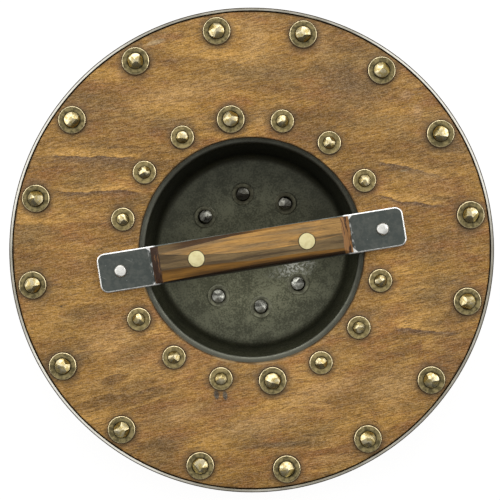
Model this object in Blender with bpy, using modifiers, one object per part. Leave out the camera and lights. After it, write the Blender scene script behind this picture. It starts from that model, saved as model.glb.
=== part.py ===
"""A buckler: a round wooden shield with a steel rim, a steel boss and a gripped strap across the hand hole.

It lies on the boss with the hand side up. The origin is on the ground under the middle, +Z points out of the
back of the shield and +X runs along the handle. Lengths are in metres.
"""

import math
from dataclasses import dataclass

import bmesh
import bpy
from mathutils import Matrix, Vector

GAP = 0.0003  # clearance left between pieces that touch
CUT_PAST = 0.006  # how far a hole cutter reaches past what it cuts
WELD = 0.00001
SHARP_ANGLE = math.radians(35)

# Rim band: a wall round the edge of the board and a flat band on its front
RIM_RADIUS = 0.175
RIM_THICKNESS = 0.0012
RIM_FLARE = 0.0013  # how far the wall leans out from back to front
RIM_CORNER = 0.0010  # the bend between the wall and the front band
RIM_BAND_WIDTH = 0.029
RIM_STANDS_UP = 0.0002  # over the back of the wood
RIM_STEPS = 56

# Board
BOARD_RADIUS = 0.1720
BOARD_THICKNESS = 0.010
HAND_HOLE_RADIUS = 0.0815
BOARD_STEPS = 56
HAND_HOLE_STEPS = 36

# Boss: a shallow crown, a round shoulder, a steep wall and a flat flange, in one steel sheet
BOSS_THICKNESS = 0.0015
BOSS_DEPTH = 0.044  # from the front of the flange to the front of the crown
FLANGE_RADIUS = 0.109
FLANGE_BEND_RADIUS = 0.003  # on the hand side
MOUTH_RADIUS = 0.077  # hand side of the wall, where the bend begins
WALL_SLOPE = math.radians(80)
CROWN_SPHERE_RADIUS = 0.300
CROWN_RADIUS = 0.0655
CROWN_RINGS = 4
SHOULDER_STEPS = 4
BEND_STEPS = 2
BOSS_STEPS = 32

# Handle strap and grip
STRAP_LENGTH = 0.2228
STRAP_WIDTH = 0.0283
STRAP_THICKNESS = 0.004
STRAP_CORNER_RADIUS = 0.0055
STRAP_CORNER_STEPS = 4
SCALE_LENGTH = 0.144
SCALE_WIDTH = 0.0278
SCALE_THICKNESS = 0.010
SCALE_CHAMFER = 0.0045
PIN_RADIUS = 0.006
PIN_SPACING = 0.080
PIN_STEPS = 12

# Rings of rivets. Each starts on the handle's axis.
OUTER_RING_RADIUS = 0.160
OUTER_RING_COUNT = 16
INNER_RING_RADIUS = 0.0955
INNER_RING_COUNT = 16
BOSS_RING_RADIUS = 0.043
BOSS_RING_COUNT = 8
RIVET_STEPS = 8
HOLE_SIDES = 6


@dataclass(frozen=True)
class Rivet:
    """The sizes of a rivet: a washer and a peened tail on the back, and a domed head on the front."""

    washer_radius: float
    washer_thickness: float
    tail_radius: float
    tail_height: float
    shank_radius: float
    head_radius: float
    head_height: float


LARGE_BRASS = Rivet(
    washer_radius=0.00980,
    washer_thickness=0.0016,
    tail_radius=0.00575,
    tail_height=0.0045,
    shank_radius=0.0025,
    head_radius=0.0065,
    head_height=0.0040,
)
SMALL_BRASS = Rivet(
    washer_radius=0.00825,
    washer_thickness=0.0014,
    tail_radius=0.00435,
    tail_height=0.0040,
    shank_radius=0.0022,
    head_radius=0.0060,
    head_height=0.0035,
)
HANDLE_STEEL = Rivet(
    washer_radius=0.0,
    washer_thickness=0.0,
    tail_radius=0.0047,
    tail_height=0.0034,
    shank_radius=0.0025,
    head_radius=0.0065,
    head_height=0.0040,
)
BOSS_STEEL = Rivet(
    washer_radius=0.00825,
    washer_thickness=0.0013,
    tail_radius=0.0050,
    tail_height=0.0034,
    shank_radius=0.0025,
    head_radius=0.0060,
    head_height=0.0045,
)


def sphere_rise(radius, distance):
    """How far a sphere of this radius has risen at a distance from its lowest point."""
    return radius - math.sqrt(radius * radius - distance * distance)


# Heights, from the ground up. The heads of the boss rivets are what the shield lies on.
CROWN_TILT = math.asin(BOSS_RING_RADIUS / CROWN_SPHERE_RADIUS)
BOSS_HEAD_REACH = (BOSS_STEEL.head_height + GAP) * math.cos(CROWN_TILT)
CROWN_FRONT_Z = BOSS_HEAD_REACH - sphere_rise(CROWN_SPHERE_RADIUS, BOSS_RING_RADIUS)
FLANGE_FRONT_Z = CROWN_FRONT_Z + BOSS_DEPTH
BOARD_FRONT_Z = FLANGE_FRONT_Z + BOSS_THICKNESS + GAP
BOARD_BACK_Z = BOARD_FRONT_Z + BOARD_THICKNESS
RIM_FRONT_Z = BOARD_FRONT_Z - GAP - RIM_THICKNESS
STRAP_FRONT_Z = BOARD_BACK_Z + GAP
STRAP_BACK_Z = STRAP_FRONT_Z + STRAP_THICKNESS


def clear_scene():
    """Remove the objects and collections of a new file."""
    for thing in list(bpy.data.objects):
        bpy.data.objects.remove(thing, do_unlink=True)
    for collection in list(bpy.data.collections):
        bpy.data.collections.remove(collection)


def add_collection(name):
    """Return a new collection under the scene's own."""
    collection = bpy.data.collections.new(name)
    bpy.context.scene.collection.children.link(collection)
    return collection


def add_material(name, colour, roughness, metallic):
    """Return a plain Principled material."""
    material = bpy.data.materials.new(name)
    material.use_nodes = True
    shader = material.node_tree.nodes["Principled BSDF"]
    shader.inputs["Base Color"].default_value = (*colour, 1.0)
    shader.inputs["Roughness"].default_value = roughness
    shader.inputs["Metallic"].default_value = metallic
    return material


def add_object(name, mesh, material, collection):
    """Return a new object with the mesh, shaded smooth where it is round."""
    thing = bpy.data.objects.new(name, mesh)
    collection.objects.link(thing)
    mesh.materials.append(material)
    mesh.shade_smooth()
    mesh.set_sharp_from_angle(angle=SHARP_ANGLE)
    return thing


def mesh_of(name, shape):
    """Return a mesh made from a bmesh, which is then freed."""
    mesh = bpy.data.meshes.new(name)
    shape.to_mesh(mesh)
    shape.free()
    return mesh


def add_turned(name, points, steps, material, collection, closed=False):
    """Return a profile of (radius, height) points turned a full circle about Z."""
    corners = [(radius, 0.0, height) for radius, height in points]
    edges = [(i, i + 1) for i in range(len(points) - 1)]
    if closed:
        edges.append((len(points) - 1, 0))
    mesh = bpy.data.meshes.new(name)
    mesh.from_pydata(corners, edges, [])
    thing = add_object(name, mesh, material, collection)
    screw = thing.modifiers.new("Turn", "SCREW")
    screw.axis = "Z"
    screw.steps = steps
    screw.render_steps = steps
    screw.use_merge_vertices = True
    screw.merge_threshold = WELD
    screw.use_smooth_shade = True
    return thing


def circle_points(radius, steps, centre=(0.0, 0.0)):
    """Return the corners of a regular polygon, the first one at +X."""
    return [
        (
            centre[0] + radius * math.cos(math.tau * i / steps),
            centre[1] + radius * math.sin(math.tau * i / steps),
        )
        for i in range(steps)
    ]


def hole_corner_radius(shank_radius, sides):
    """The corner radius of a hole whose flat sides stay clear of a shank."""
    return (shank_radius + GAP) / math.cos(math.pi / sides)


def plate_mesh(name, outlines, thickness):
    """Return a plate about the XY plane. The first outline is its edge and the others are holes."""
    curve = bpy.data.curves.new(name, "CURVE")
    curve.dimensions = "2D"
    curve.fill_mode = "BOTH"
    curve.extrude = thickness / 2
    for outline in outlines:
        spline = curve.splines.new("POLY")
        spline.points.add(len(outline) - 1)
        spline.use_cyclic_u = True
        for point, (x, y) in zip(spline.points, outline, strict=True):
            point.co = (x, y, 0.0, 1.0)
    guide = bpy.data.objects.new(name + "_outline", curve)
    bpy.context.scene.collection.objects.link(guide)
    depsgraph = bpy.context.evaluated_depsgraph_get()
    filled = bpy.data.meshes.new_from_object(guide.evaluated_get(depsgraph))
    bpy.data.objects.remove(guide, do_unlink=True)
    shape = bmesh.new()
    shape.from_mesh(filled)
    bpy.data.meshes.remove(filled)
    bmesh.ops.remove_doubles(shape, verts=shape.verts, dist=WELD)
    bmesh.ops.recalc_face_normals(shape, faces=shape.faces)
    return mesh_of(name, shape)


def add_cutter(name, places, shank_radius, sides, length, collection):
    """Return one cutter with a prism at each place, a matrix whose Z is the hole's axis."""
    shape = bmesh.new()
    corner_radius = hole_corner_radius(shank_radius, sides)
    for place in places:
        bmesh.ops.create_cone(
            shape,
            cap_ends=True,
            segments=sides,
            radius1=corner_radius,
            radius2=corner_radius,
            depth=length,
            matrix=place,
        )
    cutter = bpy.data.objects.new(name, mesh_of(name, shape))
    cutter.hide_render = True
    cutter.display_type = "WIRE"
    collection.objects.link(cutter)
    return cutter


def cut(thing, cutter):
    """Take the cutter out of the thing."""
    boolean = thing.modifiers.new(cutter.name, "BOOLEAN")
    boolean.operation = "DIFFERENCE"
    boolean.solver = "EXACT"
    boolean.object = cutter


def ring_angles(count):
    """Return evenly spaced angles from +X."""
    return [math.tau * i / count for i in range(count)]


def upright_place(radius, angle, height):
    """A place on a ring, whose own Z points up and whose X points away from the middle."""
    spot = Vector((radius * math.cos(angle), radius * math.sin(angle), height))
    return Matrix.Translation(spot) @ Matrix.Rotation(angle, 4, "Z")


def crown_place(angle):
    """A place on the front of the crown, on the ring of boss rivets. Its own Z points to the hand side."""
    sphere_middle = Vector((0.0, 0.0, CROWN_FRONT_Z + CROWN_SPHERE_RADIUS))
    turn = Matrix.Rotation(angle, 4, "Z") @ Matrix.Rotation(-CROWN_TILT, 4, "Y")
    down = Matrix.Translation((0.0, 0.0, -CROWN_SPHERE_RADIUS))
    return Matrix.Translation(sphere_middle) @ turn @ down


def arc_points(middle, radius, start, end, steps):
    """Points on an arc, whose angles are the slope there. A radius under 0 bends it the other way."""
    points = []
    for i in range(steps + 1):
        slope = start + (end - start) * i / steps
        points.append((middle[0] + radius * math.sin(slope), middle[1] - radius * math.cos(slope)))
    return points


def boss_front_points():
    """The front of the boss as (radius, height) points, from the flange's edge to the crown's middle."""
    bend_radius = FLANGE_BEND_RADIUS - BOSS_THICKNESS
    wall_radius = MOUTH_RADIUS + BOSS_THICKNESS * math.sin(WALL_SLOPE)
    bend_middle = (wall_radius + bend_radius * math.sin(WALL_SLOPE), FLANGE_FRONT_Z - bend_radius)
    bend = arc_points(bend_middle, -bend_radius, 0.0, WALL_SLOPE, BEND_STEPS)
    wall_top = bend[-1]

    # The shoulder's arc leaves the crown smoothly and runs smoothly into the straight wall.
    crown_slope = math.asin(CROWN_RADIUS / CROWN_SPHERE_RADIUS)
    crown_edge_z = CROWN_FRONT_Z + sphere_rise(CROWN_SPHERE_RADIUS, CROWN_RADIUS)
    wall_lean = 1 / math.tan(WALL_SLOPE)
    across = wall_top[0] - CROWN_RADIUS - (wall_top[1] - crown_edge_z) * wall_lean
    unit_across = math.sin(WALL_SLOPE) - math.sin(crown_slope)
    unit_rise = math.cos(crown_slope) - math.cos(WALL_SLOPE)
    shoulder_radius = across / (unit_across - unit_rise * wall_lean)
    shoulder_middle = (
        CROWN_RADIUS - shoulder_radius * math.sin(crown_slope),
        crown_edge_z + shoulder_radius * math.cos(crown_slope),
    )
    shoulder = arc_points(shoulder_middle, shoulder_radius, WALL_SLOPE, crown_slope, SHOULDER_STEPS)

    crown = []
    for i in range(1, CROWN_RINGS + 1):
        radius = CROWN_RADIUS * (1 - i / CROWN_RINGS)
        crown.append((radius, CROWN_FRONT_Z + sphere_rise(CROWN_SPHERE_RADIUS, radius)))
    return [(FLANGE_RADIUS, FLANGE_FRONT_Z), *bend, *shoulder, *crown]


def add_boss(material, parts, cutters):
    """The steel bowl with its flange, and the holes for its rivets."""
    boss = add_turned("boss", boss_front_points(), BOSS_STEPS, material, parts)
    sheet = boss.modifiers.new("Sheet", "SOLIDIFY")
    sheet.thickness = BOSS_THICKNESS
    sheet.offset = -1.0
    sheet.use_even_offset = True
    length = 2 * (BOSS_THICKNESS + CUT_PAST)
    flange_places = [
        upright_place(INNER_RING_RADIUS, angle, FLANGE_FRONT_Z) for angle in ring_angles(INNER_RING_COUNT)
    ]
    shank = HANDLE_STEEL.shank_radius
    cut(boss, add_cutter("flange_holes", flange_places, shank, HOLE_SIDES, length, cutters))
    crown_places = [crown_place(angle) for angle in ring_angles(BOSS_RING_COUNT)]
    shank = BOSS_STEEL.shank_radius
    cut(boss, add_cutter("crown_holes", crown_places, shank, HOLE_SIDES, length, cutters))


def add_rim(material, parts, cutters):
    """The steel band round the edge of the board, with the holes for its rivets."""
    wall_top_z = BOARD_BACK_Z + RIM_STANDS_UP
    wall_top_radius = RIM_RADIUS - RIM_FLARE
    band_back_z = RIM_FRONT_Z + RIM_THICKNESS
    band_radius = RIM_RADIUS - RIM_BAND_WIDTH
    profile = [
        (wall_top_radius, wall_top_z),
        (RIM_RADIUS, RIM_FRONT_Z + RIM_CORNER),
        (RIM_RADIUS - RIM_CORNER, RIM_FRONT_Z),
        (band_radius, RIM_FRONT_Z),
        (band_radius, band_back_z),
        (RIM_RADIUS - RIM_THICKNESS, band_back_z),
        (wall_top_radius - RIM_THICKNESS, wall_top_z),
    ]
    rim = add_turned("rim_band", profile, RIM_STEPS, material, parts, closed=True)
    places = [upright_place(OUTER_RING_RADIUS, angle, RIM_FRONT_Z) for angle in ring_angles(OUTER_RING_COUNT)]
    length = 2 * (RIM_THICKNESS + CUT_PAST)
    cut(rim, add_cutter("rim_holes", places, LARGE_BRASS.shank_radius, HOLE_SIDES, length, cutters))


def add_board(material, parts):
    """The wooden disc, with the hand hole and a hole for each rivet."""
    outlines = [
        circle_points(BOARD_RADIUS, BOARD_STEPS),
        circle_points(HAND_HOLE_RADIUS, HAND_HOLE_STEPS),
    ]
    corner_radius = hole_corner_radius(LARGE_BRASS.shank_radius, HOLE_SIDES)
    for ring_radius, count in ((OUTER_RING_RADIUS, OUTER_RING_COUNT), (INNER_RING_RADIUS, INNER_RING_COUNT)):
        for centre in circle_points(ring_radius, count):
            outlines.append(circle_points(corner_radius, HOLE_SIDES, centre))
    board = add_object("wood_disc", plate_mesh("wood_disc", outlines, BOARD_THICKNESS), material, parts)
    board.location.z = (BOARD_FRONT_Z + BOARD_BACK_Z) / 2


def strap_outline():
    """The strap seen from above: a bar with rounded corners."""
    outline = []
    reach_x = STRAP_LENGTH / 2 - STRAP_CORNER_RADIUS
    reach_y = STRAP_WIDTH / 2 - STRAP_CORNER_RADIUS
    for quarter, (side_x, side_y) in enumerate(((1, 1), (-1, 1), (-1, -1), (1, -1))):
        for i in range(STRAP_CORNER_STEPS + 1):
            angle = math.pi / 2 * (quarter + i / STRAP_CORNER_STEPS)
            x = side_x * reach_x + STRAP_CORNER_RADIUS * math.cos(angle)
            y = side_y * reach_y + STRAP_CORNER_RADIUS * math.sin(angle)
            outline.append((x, y))
    return outline


def add_strap(material, parts):
    """The flat steel bar, with holes for its two rivets and the two grip pins."""
    outlines = [strap_outline()]
    rivet_corner_radius = hole_corner_radius(HANDLE_STEEL.shank_radius, HOLE_SIDES)
    pin_corner_radius = hole_corner_radius(PIN_RADIUS, PIN_STEPS)
    for side in (-1, 1):
        outlines.append(circle_points(rivet_corner_radius, HOLE_SIDES, (side * INNER_RING_RADIUS, 0.0)))
        outlines.append(circle_points(pin_corner_radius, PIN_STEPS, (side * PIN_SPACING / 2, 0.0)))
    strap = add_object("handle_strap", plate_mesh("handle_strap", outlines, STRAP_THICKNESS), material, parts)
    strap.location.z = (STRAP_FRONT_Z + STRAP_BACK_Z) / 2


def add_scale(name, strap_face_z, side, material, parts, cutters):
    """One grip scale: a block chamfered outside. side is 1 on the back of the strap and -1 in front."""
    shape = bmesh.new()
    bmesh.ops.create_cube(shape, size=1.0)
    bmesh.ops.scale(shape, vec=(SCALE_LENGTH, SCALE_WIDTH, SCALE_THICKNESS), verts=shape.verts)
    outer_edges = [edge for edge in shape.edges if all(side * corner.co.z > 0 for corner in edge.verts)]
    bmesh.ops.bevel(
        shape,
        geom=outer_edges,
        offset=SCALE_CHAMFER,
        offset_type="OFFSET",
        segments=1,
        affect="EDGES",
    )
    scale = add_object(name, mesh_of(name, shape), material, parts)
    scale.location.z = strap_face_z + side * (GAP + SCALE_THICKNESS / 2)
    places = [Matrix.Translation((way * PIN_SPACING / 2, 0.0, scale.location.z)) for way in (-1, 1)]
    length = SCALE_THICKNESS + 2 * CUT_PAST
    cut(scale, add_cutter(name + "_holes", places, PIN_RADIUS, PIN_STEPS, length, cutters))


def add_pin(name, x, material, parts):
    """One grip pin, flush with the outer faces of both scales."""
    low_z = STRAP_FRONT_Z - GAP - SCALE_THICKNESS
    high_z = STRAP_BACK_Z + GAP + SCALE_THICKNESS
    shape = bmesh.new()
    bmesh.ops.create_cone(
        shape,
        cap_ends=True,
        segments=PIN_STEPS,
        radius1=PIN_RADIUS,
        radius2=PIN_RADIUS,
        depth=high_z - low_z,
    )
    pin = add_object(name, mesh_of(name, shape), material, parts)
    pin.location = (x, 0.0, (low_z + high_z) / 2)


def dome_points(radius, height, inner_share=0.72, inner_rise=0.70):
    """A low dome as (radius, height) points from its top down to its edge."""
    return [(0.0, height), (radius * inner_share, height * inner_rise), (radius, 0.0)]


def rivet_profile(kind, grip):
    """A rivet turned about Z. What it holds lies between heights 0, its front, and grip, its back."""
    washer_front = grip + GAP
    washer_back = washer_front + kind.washer_thickness
    tail = [(radius, washer_back + rise) for radius, rise in dome_points(kind.tail_radius, kind.tail_height)]
    washer = []
    if kind.washer_radius:
        washer = [(kind.washer_radius, washer_back), (kind.washer_radius, washer_front)]
    shank = [(kind.shank_radius, washer_front), (kind.shank_radius, -GAP)]
    head = [(radius, -GAP - drop) for radius, drop in dome_points(kind.head_radius, kind.head_height)]
    return [*tail, *washer, *shank, *reversed(head)]


def add_rivet(name, kind, grip, place, material, parts):
    """One rivet at a place on the front of what it holds, whose own Z points to the hand side."""
    rivet = add_turned(name, rivet_profile(kind, grip), RIVET_STEPS, material, parts)
    rivet.matrix_world = place


def add_outer_rivets(material, parts):
    """The ring that holds the rim band."""
    grip = BOARD_BACK_Z - RIM_FRONT_Z
    for number, angle in enumerate(ring_angles(OUTER_RING_COUNT), start=1):
        place = upright_place(OUTER_RING_RADIUS, angle, RIM_FRONT_Z)
        add_rivet(f"outer_rivet_{number:02d}", LARGE_BRASS, grip, place, material, parts)


def add_inner_rivets(material, parts):
    """The ring that holds the boss, but for the two places of the handle's own rivets."""
    grip = BOARD_BACK_Z - FLANGE_FRONT_Z
    quarter = INNER_RING_COUNT // 4
    number = 0
    for i, angle in enumerate(ring_angles(INNER_RING_COUNT)):
        if i % (2 * quarter) == 0:
            continue
        number += 1
        kind = LARGE_BRASS if i % quarter == 0 else SMALL_BRASS
        place = upright_place(INNER_RING_RADIUS, angle, FLANGE_FRONT_Z)
        add_rivet(f"inner_rivet_{number:02d}", kind, grip, place, material, parts)


def add_handle_rivets(material, parts):
    """The two rivets through the ends of the strap, the board and the flange."""
    grip = STRAP_BACK_Z - FLANGE_FRONT_Z
    for name, angle in (("handle_rivet_right", 0.0), ("handle_rivet_left", math.pi)):
        place = upright_place(INNER_RING_RADIUS, angle, FLANGE_FRONT_Z)
        add_rivet(name, HANDLE_STEEL, grip, place, material, parts)


def add_boss_rivets(material, parts):
    """The ring in the crown of the boss."""
    for number, angle in enumerate(ring_angles(BOSS_RING_COUNT), start=1):
        add_rivet(f"boss_rivet_{number}", BOSS_STEEL, BOSS_THICKNESS, crown_place(angle), material, parts)


def main():
    """Make the whole shield."""
    clear_scene()
    parts = add_collection("buckler")
    cutters = add_collection("cutters")

    stained_wood = add_material("stained_wood", (0.35, 0.20, 0.07), roughness=0.55, metallic=0.0)
    grip_wood = add_material("grip_wood", (0.31, 0.18, 0.06), roughness=0.40, metallic=0.0)
    rim_steel = add_material("rim_steel", (0.48, 0.48, 0.46), roughness=0.35, metallic=1.0)
    blackened_steel = add_material("blackened_steel", (0.08, 0.08, 0.07), roughness=0.50, metallic=1.0)
    strap_steel = add_material("strap_steel", (0.10, 0.11, 0.11), roughness=0.40, metallic=1.0)
    bright_steel = add_material("bright_steel", (0.60, 0.59, 0.55), roughness=0.30, metallic=1.0)
    rivet_steel = add_material("rivet_steel", (0.14, 0.14, 0.13), roughness=0.40, metallic=1.0)
    brass = add_material("brass", (0.45, 0.36, 0.17), roughness=0.30, metallic=1.0)
    pale_brass = add_material("pale_brass", (0.72, 0.66, 0.40), roughness=0.35, metallic=1.0)

    add_board(stained_wood, parts)
    add_rim(rim_steel, parts, cutters)
    add_boss(blackened_steel, parts, cutters)
    add_strap(strap_steel, parts)
    add_scale("grip_scale_back", STRAP_BACK_Z, 1, grip_wood, parts, cutters)
    add_scale("grip_scale_front", STRAP_FRONT_Z, -1, grip_wood, parts, cutters)
    add_pin("grip_pin_left", -PIN_SPACING / 2, pale_brass, parts)
    add_pin("grip_pin_right", PIN_SPACING / 2, pale_brass, parts)
    add_outer_rivets(brass, parts)
    add_inner_rivets(brass, parts)
    add_handle_rivets(bright_steel, parts)
    add_boss_rivets(rivet_steel, parts)


main()
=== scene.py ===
"""The looks of a buckler: a round wooden shield, shown from the hand side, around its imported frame.

The shield lies on its boss with the hand side up. +X runs along the handle and +Z points out of the back.
Lengths are in metres.
"""

from __future__ import annotations

import logging
import math
import random
from collections.abc import Callable, Sequence
from dataclasses import dataclass, field
from enum import Enum
from typing import ClassVar

import bmesh
import bpy
from mathutils import Matrix, Vector

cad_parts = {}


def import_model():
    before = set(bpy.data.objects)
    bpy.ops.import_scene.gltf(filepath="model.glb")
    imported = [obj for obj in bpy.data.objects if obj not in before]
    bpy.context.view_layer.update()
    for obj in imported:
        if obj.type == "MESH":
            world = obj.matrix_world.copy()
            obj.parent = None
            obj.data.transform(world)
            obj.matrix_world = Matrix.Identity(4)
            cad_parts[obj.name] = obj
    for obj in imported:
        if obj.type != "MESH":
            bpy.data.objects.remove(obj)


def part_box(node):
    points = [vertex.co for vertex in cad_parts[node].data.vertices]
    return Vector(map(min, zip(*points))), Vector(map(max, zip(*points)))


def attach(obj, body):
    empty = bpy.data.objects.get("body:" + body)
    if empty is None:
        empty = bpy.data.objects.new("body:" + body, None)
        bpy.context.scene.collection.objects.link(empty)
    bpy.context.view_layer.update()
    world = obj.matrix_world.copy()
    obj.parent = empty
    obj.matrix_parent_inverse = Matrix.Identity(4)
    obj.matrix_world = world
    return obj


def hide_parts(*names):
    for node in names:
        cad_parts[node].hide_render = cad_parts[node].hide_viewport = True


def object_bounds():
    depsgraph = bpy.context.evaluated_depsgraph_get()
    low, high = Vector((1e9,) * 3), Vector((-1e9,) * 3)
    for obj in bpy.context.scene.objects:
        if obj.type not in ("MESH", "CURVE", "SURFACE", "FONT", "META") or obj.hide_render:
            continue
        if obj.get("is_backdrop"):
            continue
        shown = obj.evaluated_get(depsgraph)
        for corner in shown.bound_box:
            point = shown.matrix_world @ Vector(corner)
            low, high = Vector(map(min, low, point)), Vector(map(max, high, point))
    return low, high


LOG = logging.getLogger("buckler")
MM = 0.001
BODY = "root"
OWN_PLACE = "own_place"  # each point's place before its piece was set on the shield
WELD = 0.00001
CLEARANCE = 0.0003  # left between pieces that touch
DRILL_RADIUS = 0.0028  # of the rivet holes
SHEET_EDGE = 50.0  # the edges of sheet steel are sharper than this, in degrees
ORIGIN = (0.0, 0.0, 0.0)
WHITE = (1.0, 1.0, 1.0)

Point = tuple[float, float]
Colour = tuple[float, float, float]


class Slot(Enum):
    """The record's material slots."""

    STAINED_WOOD = "stained_wood"
    GRIP_WOOD = "grip_wood"
    RIM_STEEL = "rim_steel"
    BLACKENED_STEEL = "blackened_steel"
    STRAP_STEEL = "strap_steel"
    BRIGHT_STEEL = "bright_steel"
    RIVET_STEEL = "rivet_steel"
    BRASS = "brass"
    PALE_BRASS = "pale_brass"


class Part(Enum):
    """What is picked in edit mode, by the name of its list in the mesh."""

    VERT = "verts"
    EDGE = "edges"
    FACE = "faces"


class Side(Enum):
    """Which face of the shield something is on."""

    BACK = 1
    FRONT = -1


@dataclass(frozen=True)
class Span:
    """The box of a node of the frame."""

    low: Vector
    high: Vector

    @classmethod
    def of(cls, node: str) -> Span:
        """Return the box of a node."""
        return cls(*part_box(node))

    @property
    def middle(self) -> Vector:
        """Return the middle of the box."""
        return (self.low + self.high) / 2

    @property
    def size(self) -> Vector:
        """Return the box's size along each axis."""
        return self.high - self.low


# Bench work: adding, picking, cutting, turning and copying pieces


def put_down() -> None:
    """Leave edit mode and deselect everything."""
    if bpy.context.mode != "OBJECT":
        bpy.ops.object.mode_set(mode="OBJECT")
    bpy.ops.object.select_all(action="DESELECT")


def take_up(piece: bpy.types.Object) -> None:
    """Make a piece the active and only selected one.

    Args:
        piece: The piece.
    """
    put_down()
    piece.select_set(True)
    bpy.context.view_layer.objects.active = piece


def start_shaping(piece: bpy.types.Object) -> None:
    """Take a piece into edit mode with all of it selected.

    Args:
        piece: The piece.
    """
    take_up(piece)
    bpy.ops.object.mode_set(mode="EDIT")
    bpy.ops.mesh.select_mode(type="VERT")
    bpy.ops.mesh.select_all(action="SELECT")


def settle(name: str) -> bpy.types.Object:
    """Name the active piece and return it at the origin, unturned and unscaled.

    Args:
        name: The piece's name.

    Returns:
        The piece.
    """
    piece = bpy.context.active_object
    piece.name = piece.data.name = name
    bpy.ops.object.transform_apply(location=True, rotation=True, scale=True)
    return piece


def block(name: str, span: Span) -> bpy.types.Object:
    """Return a block that fills a box.

    Args:
        name: The block's name.
        span: The box.

    Returns:
        The block.
    """
    put_down()
    bpy.ops.mesh.primitive_cube_add(size=1.0, location=span.middle, scale=span.size)
    return settle(name)


def pick(piece: bpy.types.Object, part: Part, test: Callable[..., bool]) -> None:
    """Select the corners, edges or faces that pass a test, in edit mode.

    Args:
        piece: The piece in edit mode.
        part: What to select.
        test: Says whether an element is selected.
    """
    bpy.ops.mesh.select_mode(type=part.name)
    bpy.ops.mesh.select_all(action="DESELECT")
    shape = bmesh.from_edit_mesh(piece.data)
    for element in getattr(shape, part.value):
        if test(element):
            element.select_set(True)
    shape.select_flush_mode()
    bmesh.update_edit_mesh(piece.data)


def upright(edge: bmesh.types.BMEdge) -> bool:
    """Return whether an edge runs through a piece's thickness."""
    return abs(edge.verts[0].co.z - edge.verts[1].co.z) > MM


def apply_modifier(piece: bpy.types.Object, kind: str, **settings: object) -> None:
    """Add a modifier with its own settings to a piece and apply it.

    Args:
        piece: The piece.
        kind: The modifier's type.
        **settings: The modifier's own settings.
    """
    take_up(piece)
    modifier = piece.modifiers.new(kind.title(), kind)
    for name, value in settings.items():
        setattr(modifier, name, value)
    bpy.ops.object.modifier_apply(modifier=modifier.name)


def bevel(piece: bpy.types.Object, width: float, degrees: float) -> None:
    """Ease a piece's edges that are sharper than an angle."""
    limit = math.radians(degrees)
    apply_modifier(piece, "BEVEL", width=width, segments=2, limit_method="ANGLE", angle_limit=limit)


def turn(name: str, profile: Sequence[Point], steps: int, closed: bool = False) -> bpy.types.Object:
    """Turn a profile a full circle about Z, as on a lathe.

    Args:
        name: The piece's name.
        profile: Points as (radius, height), in order.
        steps: How many flats go round the circle.
        closed: Whether the last point joins the first.

    Returns:
        The turned piece.
    """
    put_down()
    bpy.ops.mesh.primitive_plane_add(size=MM)
    piece = settle(name)
    start_shaping(piece)
    bpy.ops.mesh.merge(type="CENTER")
    bpy.ops.transform.translate(value=(profile[0][0], 0.0, profile[0][1]))
    for start, end in zip(profile, profile[1:], strict=False):
        step = (end[0] - start[0], 0.0, end[1] - start[1])
        bpy.ops.mesh.extrude_vertices_move(TRANSFORM_OT_translate={"value": step})
    if closed:
        pick(piece, Part.VERT, lambda corner: len(corner.link_edges) == 1)
        bpy.ops.mesh.edge_face_add()
    bpy.ops.mesh.select_all(action="SELECT")
    bpy.ops.mesh.spin(steps=steps, angle=math.tau, center=ORIGIN, axis=(0.0, 0.0, 1.0))
    clean(piece)
    return piece


def clean(piece: bpy.types.Object) -> None:
    """Merge doubled corners and turn the faces outwards.

    Args:
        piece: The piece to clean.
    """
    start_shaping(piece)
    bpy.ops.mesh.remove_doubles(threshold=WELD)
    bpy.ops.mesh.delete_loose(use_verts=True, use_edges=True, use_faces=False)
    bpy.ops.mesh.select_all(action="SELECT")
    bpy.ops.mesh.normals_make_consistent(inside=False)
    put_down()


def shade(piece: bpy.types.Object, degrees: float = 28.0) -> None:
    """Shade a piece smooth but for its edges that are sharper than an angle.

    Args:
        piece: The piece to shade.
        degrees: The angle.
    """
    take_up(piece)
    bpy.ops.object.shade_smooth_by_angle(angle=math.radians(degrees))
    put_down()


def plane_off(piece: bpy.types.Object, spot: Vector, facing: Vector) -> None:
    """Cut off all that lies in front of a plane and close the cut with a flat face.

    Args:
        piece: The piece to cut.
        spot: A point on the plane.
        facing: The way that the new flat faces.
    """
    start_shaping(piece)
    bpy.ops.mesh.bisect(plane_co=spot, plane_no=facing, use_fill=True, clear_outer=True, threshold=WELD / 10)
    put_down()


def cut_away(piece: bpy.types.Object, cutter: bpy.types.Object) -> None:
    """Take a closed cutter out of a piece, then remove the cutter."""
    apply_modifier(piece, "BOOLEAN", operation="DIFFERENCE", solver="EXACT", object=cutter)
    bpy.data.objects.remove(cutter, do_unlink=True)


def drill(
    piece: bpy.types.Object, places: Sequence[Matrix], radius: float, length: float, sides: int = 24
) -> None:
    """Drill holes in a piece.

    Args:
        piece: The piece to drill.
        places: The holes' middles. A hole runs along its place's own Z.
        radius: The holes' radius.
        length: How far the drill reaches, both ways together.
        sides: How many sides a hole has.
    """
    put_down()
    made = []
    for place in places:
        bpy.ops.mesh.primitive_cylinder_add(vertices=sides, radius=radius, depth=length)
        made.append(bpy.context.active_object)
        made[-1].matrix_world = place
    for bit in made:
        bit.select_set(True)
    bpy.ops.object.join()
    cut_away(piece, settle("drills"))


def copy_to(master: bpy.types.Object, name: str, place: Matrix) -> bpy.types.Object:
    """Return a copy of a master piece, with a mesh of its own, at a place on the shield.

    Args:
        master: The piece to copy.
        name: The copy's name.
        place: Where the copy goes.

    Returns:
        The copy, at the origin with its place in its mesh.
    """
    take_up(master)
    bpy.ops.object.duplicate(linked=False)
    bpy.context.active_object.matrix_world = place
    piece = settle(name)
    put_down()
    return piece


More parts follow.
